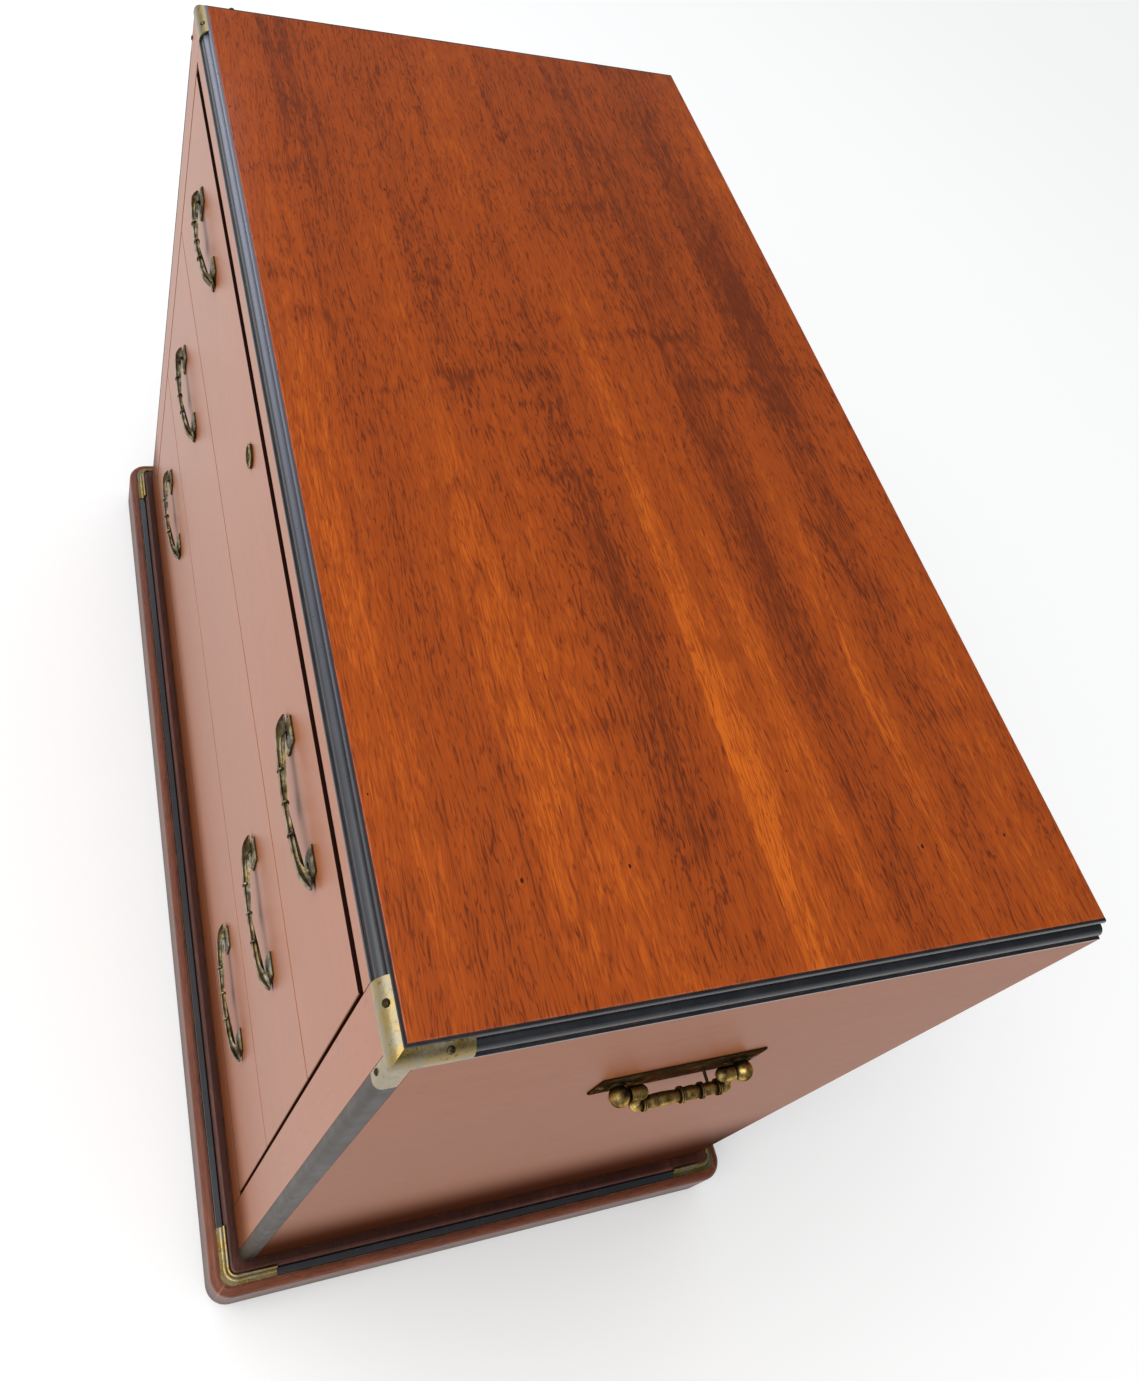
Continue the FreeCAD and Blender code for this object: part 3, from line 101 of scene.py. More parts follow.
makeCamera(cameraView)
for lampRow in studio["lamps"]:
    makeLamp(*lampRow)
print("camera and lamps placed")


# node tools: an input given as a socket is linked, and anything else is set

def connect(tree, socket, value):
    if isinstance(value, bpy.types.NodeSocket):
        tree.links.new(value, socket)
    else:
        socket.default_value = value


def put(tree, kind, inputs=None, **settings):
    node = tree.nodes.new(kind)
    for name, value in settings.items():
        setattr(node, name, value)
    for name, value in (inputs or {}).items():
        connect(tree, node.inputs[name], value)
    return node


def calc(tree, operation, *values):
    inputs = dict(enumerate(values))
    return put(tree, "ShaderNodeMath", inputs, operation=operation).outputs[0]


def mixColour(tree, factor, a, b):
    return put(tree, "ShaderNodeMix", {0: factor, 6: a, 7: b}, data_type="RGBA").outputs[2]


def ramp(tree, factor, low, high, bottom=0.0, top=1.0):
    return put(tree, "ShaderNodeMapRange",
               {"Value": factor, "From Min": low, "From Max": high,
                "To Min": bottom, "To Max": top},
               interpolation_type="SMOOTHSTEP").outputs["Result"]


def stretch(tree, vector, scale):
    return put(tree, "ShaderNodeVectorMath", {0: vector, 1: scale},
               operation="MULTIPLY").outputs[0]


def noise(tree, vector, scale=1.0, detail=2.0, rough=0.5):
    return put(tree, "ShaderNodeTexNoise",
               {"Vector": vector, "Scale": scale, "Detail": detail, "Roughness": rough})


def newGroup(name, inputs, outputs):
    tree = bpy.data.node_groups.new(name, "ShaderNodeTree")
    for label, kind, value in inputs:
        socket = tree.interface.new_socket(name=label, in_out="INPUT", socket_type=kind)
        if value is not None:
            socket.default_value = value
    for label, kind in outputs:
        tree.interface.new_socket(name=label, in_out="OUTPUT", socket_type=kind)
    inside = tree.nodes.new("NodeGroupInput").outputs
    out = tree.nodes.new("NodeGroupOutput").inputs
    return tree, inside, out


def useGroup(tree, group, inputs):
    node = tree.nodes.new("ShaderNodeGroup")
    node.node_tree = group
    for name, value in inputs.items():
        connect(tree, node.inputs[name], value)
    return node.outputs


vectorKind, floatKind, colourKind = "NodeSocketVector", "NodeSocketFloat", "NodeSocketColor"

gapTone = (0.012, 0.004, 0.003, 1)       # painted shadow and dirt: in gaps, on the drawer fronts' edges and beside the gap over the top drawer; also the dark of the back's board joints
footShadeTone = (0.050, 0.013, 0.006, 1)      # painted shade: cherry darkened near the floor


grainFields = {              # x runs along the grain
    # how the grain wanders: stretch, detail, distance
    "bend": ((1.4, 5, 5), 3.0, 0.06),
    "wave": ((48, 110, 110), 1.0, 0.0026),
    "swirl": ((4, 8, 8), 2.0, 0.05),
    # marks: stretch, detail, roughness, and the levels taken as none and full
    "broad": ((0.7, 9, 9), 2.0, 0.45, 0.25, 0.75),
    "bands": ((1.1, 30, 30), 2.0, 0.45, 0.25, 0.75),
    "lines": ((3.2, 120, 120), 4.0, 0.6, 0.25, 0.75),
    "clouds": ((24, 60, 60), 4.0, 0.6, 0.25, 0.75),
    "curl": ((24, 7, 7), 3.0, 0.55, 0.56, 0.80),
    "fibres": ((46, 640, 640), 1.5, 0.6, 0.36, 0.64),
    "ticks": ((50, 800, 800), 1.0, 0.5, 0.62, 0.74),
    "threads": ((34, 440, 440), 1.5, 0.5),
}
grainMix = {
    "streak": 0.36, "clouds": 0.24, "curl": -0.30, "fibres": 0.24, "threads": 0.50, "ticks": 0.42,
    "threadWidth": 0.06,
    "threadTone": (-0.8, 0.2),       # on the thread, and between threads
    "deepToMiddle": (-0.25, 0.5),
    "middleToPale": (0.5, 1.25),
    "pitCells": (34, 60, 60),
    "pitChance": 0.10,
    "pitSize": 0.075,
    "fibreHeight": 0.3,
}


def makeGrain():
    tree, inside, out = newGroup("cherryGrain", [
        ("Vector", vectorKind, None),
        ("Pale", colourKind, (0.56, 0.120, 0.0110, 1)),
        ("Middle", colourKind, (0.325, 0.057, 0.0075, 1)),
        ("Deep", colourKind, (0.135, 0.024, 0.0060, 1)),
        ("Pore", colourKind, (0.045, 0.010, 0.005, 1)),
        ("Streaks", floatKind, 1.0),
        ("Figure", floatKind, 1.0),
        ("Fibres", floatKind, 1.0),
        ("Pores", floatKind, 1.0),
        ("Lift", floatKind, 0.0),
    ], [("Color", colourKind), ("Rough", floatKind), ("Height", floatKind)])
    place = inside["Vector"]

    def sway(vector, name):
        scale, detail, amount = grainFields[name]
        field = noise(tree, stretch(tree, vector, scale), 1.0, detail).outputs["Color"]
        field = put(tree, "ShaderNodeVectorMath", {0: field, 1: (0.5, 0.5, 0.5)},
                    operation="SUBTRACT").outputs[0]
        return put(tree, "ShaderNodeVectorMath", {0: field, 1: (0.0, amount, amount), 2: vector},
                   operation="MULTIPLY_ADD").outputs[0]

    def layer(vector, name, bottom=-0.5, top=0.5):
        scale, detail, rough, low, high = grainFields[name]
        field = noise(tree, stretch(tree, vector, scale), 1.0, detail, rough)
        return ramp(tree, field.outputs["Fac"], low, high, bottom, top)

    def add(total, name, field):
        return calc(tree, "MULTIPLY_ADD", field, grainMix[name], total)

    def share(name, field):
        return calc(tree, "MULTIPLY", field, grainMix[name])

    bent = sway(place, "bend")
    wavy = sway(bent, "wave")
    broad, bands, lines = [layer(bent, name) for name in ("broad", "bands", "lines")]
    clouds, fibres = layer(wavy, "clouds"), layer(wavy, "fibres")
    curl = layer(sway(place, "swirl"), "curl", 0.0, 1.0)
    ticks = layer(wavy, "ticks", 0.0, 1.0)
    scale, detail, rough = grainFields["threads"]
    threads = noise(tree, stretch(tree, wavy, scale), 1.0, detail, rough).outputs["Fac"]
    threads = calc(tree, "ABSOLUTE", calc(tree, "SUBTRACT", threads, 0.5))
    threads = ramp(tree, threads, 0.0, grainMix["threadWidth"], *grainMix["threadTone"])

    streaks = add(add(share("streak", broad), "streak", bands), "streak", lines)
    shade = calc(tree, "MULTIPLY_ADD", streaks, inside["Streaks"], 0.5)
    figure = add(share("clouds", clouds), "curl", curl)
    shade = calc(tree, "MULTIPLY_ADD", figure, inside["Figure"], shade)
    fine = add(share("threads", threads), "fibres", fibres)
    shade = calc(tree, "MULTIPLY_ADD", fine, inside["Fibres"], shade)
    shade = calc(tree, "ADD", shade, inside["Lift"])
    low = ramp(tree, shade, *grainMix["deepToMiddle"])
    high = ramp(tree, shade, *grainMix["middleToPale"])
    colour = mixColour(tree, low, inside["Deep"], inside["Middle"])
    colour = mixColour(tree, high, colour, inside["Pale"])

    # pits: a dark dot in a few of the cells
    cells = put(tree, "ShaderNodeTexVoronoi", {
        "Vector": stretch(tree, wavy, grainMix["pitCells"]), "Scale": 1.0}).outputs
    chance = put(tree, "ShaderNodeSeparateColor", {0: cells["Color"]}).outputs
    chosen = calc(tree, "LESS_THAN", chance[0], grainMix["pitChance"])
    size = share("pitSize", calc(tree, "MULTIPLY", chosen, chance[1]))
    pits = calc(tree, "LESS_THAN", cells["Distance"], size)
    dark = calc(tree, "MAXIMUM", share("ticks", ticks), pits)
    dark = calc(tree, "MULTIPLY", dark, inside["Pores"])
    colour = mixColour(tree, dark, colour, inside["Pore"])
    tree.links.new(colour, out["Color"])
    tree.links.new(calc(tree, "MULTIPLY_ADD", clouds, 0.5, 0.5), out["Rough"])
    height = calc(tree, "MULTIPLY_ADD", dark, -1.0, share("fibreHeight", fibres))
    tree.links.new(height, out["Height"])
    return tree


edgeRubAndLight = {
    "bend": (0.99, 0.75),      # how bent the surface is where the wear starts, and is full
    "patches": (60.0, 4.0, 0.6),
    "patchLevels": (0.35, 0.65),
}


def makeRubAndLight():
    # where edges and corners have rubbed through, broken up by noise; the same mask paints shade
    # along the drawer fronts' seams and, with wear, a highlight along the top's edge
    tree, inside, out = newGroup("edgeRubAndLight", [
        ("Vector", vectorKind, None),
        ("Radius", floatKind, 0.0015),
        ("Amount", floatKind, 1.0),
    ], [("Edge", floatKind)])
    rounded = put(tree, "ShaderNodeBevel", {"Radius": inside["Radius"]}, samples=4).outputs[0]
    flat = put(tree, "ShaderNodeNewGeometry").outputs["Normal"]
    bend = put(tree, "ShaderNodeVectorMath", {0: rounded, 1: flat},
               operation="DOT_PRODUCT").outputs["Value"]
    edge = ramp(tree, bend, *edgeRubAndLight["bend"])
    patch = noise(tree, inside["Vector"], *edgeRubAndLight["patches"]).outputs["Fac"]
    patch = ramp(tree, patch, *edgeRubAndLight["patchLevels"])
    edge = calc(tree, "MULTIPLY", edge, patch)
    tree.links.new(calc(tree, "MULTIPLY", edge, inside["Amount"]), out["Edge"])
    return tree


gapShading = {                      # painted shade by openness: where it starts and is gone, and what is left in it
    "gap": (0.42, 0.80, 0.0),
    "corner": (0.45, 0.95, 0.35),
}


def makeGapShade():
    # painted shade: dark in narrow gaps, and darker and duller towards inside corners, with less
    # polish in both
    tree, inside, out = newGroup("paintedGapShade", [
        ("Color", colourKind, None),
        ("ShadeTone", colourKind, gapTone),
        ("Distance", floatKind, 0.005),
        ("Reach", floatKind, 0.075),
    ], [("Color", colourKind), ("Polish", floatKind)])

    def openness(distance, low, high, bottom):
        value = put(tree, "ShaderNodeAmbientOcclusion", {"Distance": distance},
                    samples=6).outputs["AO"]
        return ramp(tree, value, low, high, bottom, 1.0)

    near = openness(inside["Distance"], *gapShading["gap"])
    far = openness(inside["Reach"], *gapShading["corner"])
    shaded = mixColour(tree, far, inside["ShadeTone"], inside["Color"])
    tree.links.new(mixColour(tree, near, inside["ShadeTone"], shaded), out["Color"])
    tree.links.new(calc(tree, "MULTIPLY", near, far), out["Polish"])
    return tree


patina = {
    # scale, detail, roughness, and the levels taken as none and full
    "silver": (70.0, 5.0, 0.7, 0.38, 0.66),
    "spots": (230.0, 3.0, 0.6, 0.57, 0.70),
    "pitting": (420.0, 3.0, 0.6, 0.3, 0.7),
    "film": (110.0, 4.0, 0.65),
    "filmShare": (1.6, 1.1),          # of the noise, and of open surface over hollows
    "tarnishShare": (1.5, 0.4),
    "wornBand": (0.0, 0.75),
    "hollow": 0.005,                  # how near another surface makes a hollow
    "spotTone": (0.16, 0.085, 0.030, 1),
    "spotShare": 0.75,
    "rough": (0.52, 0.24),            # tarnished, and worn bright
    "silverRough": 0.16,
}


def makePatina():
    # brass with silvery and brown mottling, darkened in its hollows, rubbed bright elsewhere
    tree, inside, out = newGroup("brassPatina", [
        ("Vector", vectorKind, None),
        ("Bright", colourKind, (0.62, 0.44, 0.15, 1)),
        ("Silver", colourKind, (0.50, 0.47, 0.38, 1)),
        ("Dark", colourKind, (0.040, 0.028, 0.014, 1)),
        ("Tarnish", floatKind, 0.5),
        ("Mottle", floatKind, 1.0),
    ], [("Color", colourKind), ("Rough", floatKind), ("Height", floatKind)])

    def field(name):
        scale, detail, rough, low, high = patina[name]
        value = noise(tree, inside["Vector"], scale, detail, rough).outputs["Fac"]
        return ramp(tree, value, low, high)

    silver = calc(tree, "MULTIPLY", field("silver"), inside["Mottle"])
    colour = mixColour(tree, silver, inside["Bright"], inside["Silver"])
    spots = calc(tree, "MULTIPLY", field("spots"), inside["Mottle"])
    spots = calc(tree, "MULTIPLY", spots, patina["spotShare"])
    colour = mixColour(tree, spots, colour, patina["spotTone"])
    hollow = put(tree, "ShaderNodeAmbientOcclusion", {"Distance": patina["hollow"]},
                 samples=6).outputs["AO"]
    film = noise(tree, inside["Vector"], *patina["film"]).outputs["Fac"]
    noiseShare, openShare = patina["filmShare"]
    film = calc(tree, "MULTIPLY_ADD", film, noiseShare,
                calc(tree, "MULTIPLY", hollow, openShare))
    tarnish = calc(tree, "MULTIPLY_ADD", inside["Tarnish"], *patina["tarnishShare"])
    worn = ramp(tree, calc(tree, "SUBTRACT", film, tarnish), *patina["wornBand"])
    tree.links.new(mixColour(tree, worn, inside["Dark"], colour), out["Color"])
    rough = ramp(tree, worn, 0.0, 1.0, *patina["rough"])
    rough = calc(tree, "MULTIPLY_ADD", silver, patina["silverRough"], rough)
    tree.links.new(rough, out["Rough"])
    tree.links.new(field("pitting"), out["Height"])
    return tree


grainGroup, rubAndLightGroup, gapShadeGroup, patinaGroup = makeGrain(), makeRubAndLight(), makeGapShade(), makePatina()


def newMaterial(name):
    material = bpy.data.materials.new(name)
    material.use_nodes = True
    tree = material.node_tree
    shader = tree.nodes["Principled BSDF"]
    place = tree.nodes.new("ShaderNodeTexCoord").outputs["Object"]
    return material, tree, shader.inputs, place


def bump(tree, shader, height, distance):
    node = put(tree, "ShaderNodeBump", {"Height": height, "Distance": distance, "Strength": 1.0})
    tree.links.new(node.outputs[0], shader["Normal"])


def edgeOf(tree, place, radius, amount):
    return useGroup(tree, rubAndLightGroup, {"Vector": place, "Radius": radius, "Amount": amount})["Edge"]


def heightOf(tree, place):
    return put(tree, "ShaderNodeSeparateXYZ", {0: place}).outputs["Z"]


grainTurns = {"x": (0, 0, 0), "y": (0, 0, 90), "z": (0, 90, 0)}
cherryFinish = {
    "rough": (0.42, 0.46),
    "level": 0.12,
    "gloss": (0.40, 0.12),            # weight and roughness of the polish
    "worn": (0.60, 0.22, 0.075, 1),
    "edgeRadius": 0.0016,             # how far in from an edge the wear reaches
    "relief": 0.000006,
}


def woodPlace(tree, place, along, offset):
    turn = [math.radians(a) for a in grainTurns[along]]
    return put(tree, "ShaderNodeMapping", {"Vector": place, "Rotation": turn,
                                           "Location": offset}).outputs[0]


topLeaves = {
    "joint": 0.0087,               # y of the line where the two sheets of veneer meet
    "shift": (0.012, 0.268),       # of the front sheet's grain from the back one's
    "strength": 0.72,
    "blur": (0.060, 0.020, 0),     # how far the patches' rims wander
    # soft patches behind the joint, then before it: x, y, half length, half width, lift; the
    # broadest dark ones, over the far half, are painted shade, darker away from the light
    "back": (
        (0.300, 0.018, 0.260, 0.026, 0.85), (-0.030, 0.022, 0.190, 0.026, 0.60),
        (0.230, 0.134, 0.300, 0.012, 0.55), (0.290, 0.062, 0.240, 0.014, 0.40),
        (0.250, 0.095, 0.300, 0.022, -0.45), (-0.100, 0.190, 0.190, 0.028, -0.45),
        (-0.330, 0.215, 0.170, 0.024, 0.35), (-0.062, 0.075, 0.009, 0.085, -0.55),
        (-0.010, 0.135, 0.010, 0.060, -0.50), (0.045, 0.024, 0.007, 0.030, -0.55),
        (-0.311, 0.014, 0.005, 0.016, -0.80), (0.080, 0.215, 0.007, 0.030, -0.50),
        (-0.300, 0.080, 0.220, 0.060, -0.20), (-0.150, 0.130, 0.480, 0.190, -0.50),
    ),
    "front": (
        (0.160, -0.034, 0.420, 0.050, -0.60), (0.240, -0.104, 0.330, 0.038, 0.60),
        (-0.340, -0.170, 0.280, 0.034, -0.45), (-0.330, -0.085, 0.230, 0.042, 0.30),
        (-0.012, -0.085, 0.009, 0.085, -0.50), (0.082, -0.045, 0.007, 0.045, -0.50),
        (-0.064, -0.195, 0.009, 0.042, -0.55), (0.010, -0.150, 0.006, 0.030, -0.40),
        (-0.110, -0.215, 0.012, 0.020, -0.50), (0.200, -0.195, 0.300, 0.030, 0.25),
        (-0.250, -0.110, 0.380, 0.160, -0.25),
    ),
    "ringTone": (0.035, -0.35),    # width and lift of a ring
    # thin rings of the figure: x, y, half length, half width
    "rings": ((0.275, 0.147, 0.115, 0.012), (0.285, -0.121, 0.125, 0.013),
              (0.270, -0.119, 0.185, 0.024), (0.300, 0.150, 0.170, 0.022)),
}


def around(tree, place, x, y, long, wide):
    # 1 in the middle of an ellipse on the top, 0 at its rim and beyond
    local = put(tree, "ShaderNodeMapping", {"Vector": place, "Location": (x, y, 0.7),
                                            "Scale": (long, wide, 1)}, vector_type="TEXTURE")
    return put(tree, "ShaderNodeTexGradient", {0: local.outputs[0]},
               gradient_type="SPHERICAL").outputs["Fac"]


def topFigure(tree, place):
    blur = noise(tree, stretch(tree, place, (9, 60, 60)), 1.0, 3.0, 0.6).outputs["Color"]
    blur = put(tree, "ShaderNodeVectorMath", {0: blur, 1: (0.5, 0.5, 0.5)},
               operation="SUBTRACT").outputs[0]
    moved = put(tree, "ShaderNodeVectorMath", {0: blur, 1: topLeaves["blur"], 2: place},
                operation="MULTIPLY_ADD").outputs[0]
    across = put(tree, "ShaderNodeSeparateXYZ", {0: place}).outputs["Y"]
    front = calc(tree, "LESS_THAN", across, topLeaves["joint"])
    lift = 0.0
    for label, chosen in (("back", calc(tree, "SUBTRACT", 1.0, front)), ("front", front)):
        total = 0.0
        for x, y, long, wide, amount in topLeaves[label]:
            patch = around(tree, moved, x, y, long, wide)
            total = calc(tree, "MULTIPLY_ADD", patch, amount, total)
        total = calc(tree, "MULTIPLY", total, topLeaves["strength"])
        lift = calc(tree, "MULTIPLY_ADD", total, chosen, lift)
    thin, tone = topLeaves["ringTone"]
    for x, y, long, wide in topLeaves["rings"]:
        # the rim of the ellipse, half-way down the slope of one twice as big
        ring = calc(tree, "SUBTRACT", around(tree, moved, x, y, long * 2, wide * 2), 0.5)
        ring = ramp(tree, calc(tree, "ABSOLUTE", ring), 0.0, thin, tone, 0.0)
        lift = calc(tree, "ADD", lift, ring)
    along, across = [calc(tree, "MULTIPLY", front, step) for step in topLeaves["shift"]]
    shift = put(tree, "ShaderNodeCombineXYZ", {"X": along, "Y": across}).outputs[0]
    return lift, shift


def cherry(name, along, offset, wear=0.3, worn=cherryFinish["worn"], tones=(),
           gloss=cherryFinish["gloss"], leaves=False, dark=None, foot=None,
           relief=cherryFinish["relief"], **amounts):
    material, tree, shader, place = newMaterial(name)
    mapped = woodPlace(tree, place, along, offset)
    values = {}
    if leaves:       # two sheets of one veneer, laid side by side
        values["Lift"], shift = topFigure(tree, place)
        mapped = put(tree, "ShaderNodeVectorMath", {0: mapped, 1: shift}).outputs[0]
    values["Vector"] = mapped
    values.update(zip(("Pale", "Middle", "Deep"), tones))
    values.update({word.capitalize(): amount for word, amount in amounts.items()})
    grain = useGroup(tree, grainGroup, values)
    edge = edgeOf(tree, place, cherryFinish["edgeRadius"], wear)
    # edge tone: wear; on the drawer fronts it is painted shade along the seams, on the top wear
    # with a painted highlight
    colour = mixColour(tree, edge, grain["Color"], worn)
    up = heightOf(tree, place)
    if foot:         # painted shade: duller and darker towards the foot
        light = ramp(tree, up, *foot)
        colour = mixColour(tree, light, footShadeTone, colour)
    if dark:         # painted shadow: black between two heights, beside a gap
        line = calc(tree, "MULTIPLY", calc(tree, "GREATER_THAN", up, dark[0]),
                    calc(tree, "LESS_THAN", up, dark[1]))
        colour = mixColour(tree, line, colour, gapTone)
    # painted shade in narrow gaps and towards inside corners
    agedAndShaded = useGroup(tree, gapShadeGroup, {"Color": colour})
    coat, coatRough = gloss
    polish = calc(tree, "MULTIPLY", agedAndShaded["Polish"], coat)
    if foot:
        polish = calc(tree, "MULTIPLY", polish, light)
    if dark:
        polish = calc(tree, "MULTIPLY", polish, calc(tree, "SUBTRACT", 1.0, line))
    # where the shine fades out, all of it is in the coat
    shader["Specular IOR Level"].default_value = 0.0 if foot or dark else cherryFinish["level"]
    tree.links.new(polish, shader["Coat Weight"])
    tree.links.new(agedAndShaded["Color"], shader["Base Color"])
    tree.links.new(ramp(tree, grain["Rough"], 0.25, 0.75, *cherryFinish["rough"]),
                   shader["Roughness"])
    shader["Coat Roughness"].default_value = coatRough
    bump(tree, shader, grain["Height"], relief)
    return material


ebonyFinish = {
    "tone": (0.010, 0.011, 0.014, 1),
    "worn": (0.16, 0.060, 0.030, 1),  # wood under the black
    "edgeRadius": 0.0009,
    "streak": 1.5,                    # lighter streaks, over the tone
    "chips": 0.6,                     # chipped specks, over the wear
    "chipLevels": (0.70, 0.74),
    "roughSpread": (-0.04, 0.07),
    "coatRough": 0.15,
    "relief": 0.00005,
    "sheenFacing": (-0.3, 0.2),        # how far up a face looks before it takes the painted sheen
}


def ebonised(name, tone=ebonyFinish["tone"], wear=0.8, rough=0.22, coat=0.5, film=None,
             sheenBand=(0.0, 9.0), sheenFade=(9.0, 8.0), level=0.5):
    material, tree, shader, place = newMaterial(name)
    worn = ebonyFinish["worn"]
    edge = edgeOf(tree, place, ebonyFinish["edgeRadius"], wear)
    streak = noise(tree, place, 55.0, 5.0, 0.6).outputs["Fac"]
    lighter = [c * ebonyFinish["streak"] for c in tone[:3]] + [1]
    colour = mixColour(tree, ramp(tree, streak, 0.35, 0.75), tone, lighter)
    if film:         # painted sheen: a pale reflection on what looks up, between two distances from the middle
        facing = put(tree, "ShaderNodeNewGeometry").outputs["Normal"]
        facing = put(tree, "ShaderNodeSeparateXYZ", {0: facing}).outputs["Z"]
        spots = put(tree, "ShaderNodeSeparateXYZ", {0: place}).outputs
        across = calc(tree, "ABSOLUTE", spots["Y"])
        band = calc(tree, "MULTIPLY", calc(tree, "GREATER_THAN", across, sheenBand[0]),
                    calc(tree, "LESS_THAN", across, sheenBand[1]))
        paintedSheen = ramp(tree, facing, *ebonyFinish["sheenFacing"])
        paintedSheen = calc(tree, "MULTIPLY", paintedSheen, band)
        paintedSheen = calc(tree, "MULTIPLY", paintedSheen, ramp(tree, spots["X"], *sheenFade))
        colour = mixColour(tree, paintedSheen, colour, film)
    chips = noise(tree, place, 210.0, 3.0, 0.7).outputs["Fac"]
    chips = ramp(tree, chips, *ebonyFinish["chipLevels"])
    chips = calc(tree, "MULTIPLY", chips, wear * ebonyFinish["chips"])
    colour = mixColour(tree, chips, colour, worn)
    tree.links.new(mixColour(tree, edge, colour, worn), shader["Base Color"])
    smooth, dull = [rough + change for change in ebonyFinish["roughSpread"]]
    tree.links.new(ramp(tree, streak, 0.3, 0.7, smooth, dull), shader["Roughness"])
    shader["Specular IOR Level"].default_value = level
    shader["Coat Weight"].default_value = coat
    shader["Coat Roughness"].default_value = ebonyFinish["coatRough"]
    bump(tree, shader, noise(tree, place, 300.0, 3.0).outputs["Fac"], ebonyFinish["relief"])
    return material


metalRelief = {"brass": 0.00004, "steel": 0.00005}
steelTones = ((0.09, 0.085, 0.08, 1), (0.30, 0.29, 0.28, 1))


def brass(name, tarnish, mottle=0.35, rim=(1, 1, 1, 1), **tones):
    material, tree, shader, place = newMaterial(name)
    values = {"Vector": place, "Tarnish": tarnish, "Mottle": mottle}
    values.update({word.capitalize(): tone for word, tone in tones.items()})
    agedAndShaded = useGroup(tree, patinaGroup, values)
    tree.links.new(agedAndShaded["Color"], shader["Base Color"])
    tree.links.new(agedAndShaded["Rough"], shader["Roughness"])
    shader["Metallic"].default_value = 1.0
    shader["Specular Tint"].default_value = rim
    bump(tree, shader, agedAndShaded["Height"], metalRelief["brass"])
    return material


plainFinish = {
    "amounts": {"Streaks": 0.7, "Figure": 0.4, "Pores": 0.4},
    "poreShade": 0.6,                 # pores, over the deep tone
    "rough": (0.55, 0.7),
    "relief": 0.0001,
    "seam": (0.0005, 0.0011),         # dark line between two boards, and where it has faded
}


def plainWood(name, along, offset, pale, deep, boards=None):
    # unpolished timber, as boards of one width laid one above another where a width is given
    material, tree, shader, place = newMaterial(name)
    middle = [(a + b) / 2 for a, b in zip(pale, deep)]
    pore = [c * plainFinish["poreShade"] for c in deep[:3]] + [1]
    grain = useGroup(tree, grainGroup, {
        "Vector": woodPlace(tree, place, along, offset), "Pale": pale, "Middle": middle,
        "Deep": deep, "Pore": pore, **plainFinish["amounts"]})
    colour = grain["Color"]
    if boards:
        seam = calc(tree, "PINGPONG", heightOf(tree, place), boards / 2)
        colour = mixColour(tree, ramp(tree, seam, *plainFinish["seam"]), gapTone, colour)
    tree.links.new(colour, shader["Base Color"])
    rough = ramp(tree, grain["Rough"], 0.45, 0.55, *plainFinish["rough"])
    tree.links.new(rough, shader["Roughness"])
    bump(tree, shader, grain["Height"], plainFinish["relief"])
    return material


def steel(name):
    material, tree, shader, place = newMaterial(name)
    cloud = noise(tree, place, 120.0, 4.0, 0.6).outputs["Fac"]
    colour = mixColour(tree, ramp(tree, cloud, 0.3, 0.7), *steelTones)
    tree.links.new(colour, shader["Base Color"])
    tree.links.new(ramp(tree, cloud, 0.3, 0.7, 0.5, 0.28), shader["Roughness"])
    shader["Metallic"].default_value = 1.0
    bump(tree, shader, cloud, metalRelief["steel"])
    return material


def paint(material, *names):
    for name in names:
        for materialSlot in nodes[name].material_slots:
            materialSlot.material = material


mergeDistance = 1e-6
sharpAngle = 38          # degrees: edges bent by more stay crisp


def makePiece(name, shape, material, body, slot, *replaced):
    bmesh.ops.remove_doubles(shape, verts=shape.verts, dist=mergeDistance)
    bmesh.ops.recalc_face_normals(shape, faces=shape.faces)
    mesh = bpy.data.meshes.new(name)
    shape.to_mesh(mesh)
    shape.free()
    for face in mesh.polygons:
        face.use_smooth = True
    mesh.materials.append(material)
    mesh.set_sharp_from_angle(angle=math.radians(sharpAngle))
    piece = bpy.data.objects.new(name, mesh)
    bpy.context.scene.collection.objects.link(piece)
    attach(piece, body)
    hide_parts(*replaced)


pull = {
    "centres": (-0.2645, 0.2645),
    "face": -0.2355,                   # drawer face
    # outline seen from above, right half, in mm: off the middle, off the drawer face
    "outer": ((0.0, 10.8), (12, 10.75), (24, 10.5), (36, 10.1), (45, 9.6), (51, 8.8), (55, 7.2),
              (58.4, 5.0), (60.2, 3.4), (60.2, 2.1)),
    "inner": ((53.5, 2.1), (48.8, 2.2), (47.0, 3.2), (46.0, 5.0), (43, 6.5), (37, 7.2),
              (24, 7.6), (12, 7.7)),
    "height": 0.0052,
    "bevel": 0.00055,
    "groove": (0.0012, 0.0009),        # rim left beside the sunk top, and its depth
    "droop": (0.0045, 0.052),          # of the middle, and how far out it is level
    "bow": -0.0090,                    # middle line of the bow, off the drawer face
    "bands": (-0.0225, 0.0, 0.0225),
    "bandSize": (0.0034, 0.0012),      # radius, width
    "roundness": 24,                   # sides of what is round
    "bandSquash": (1, 0.72, 1),
    "leaf": (0.0078, 0.0016, 0.0052),  # under the middle: half sizes
    "leafDrop": -0.0042,
    "stud": (0.0022, 0.012),           # radius, length
    "studPlace": (0.051, 0.003),       # off the middle, and how far it stands out of the face
}


def pullHeight(node):
    low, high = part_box(node)
    return (low[2] + high[2]) / 2


def quarterTurn(axis):
    return Matrix.Rotation(math.radians(90), 3, axis)


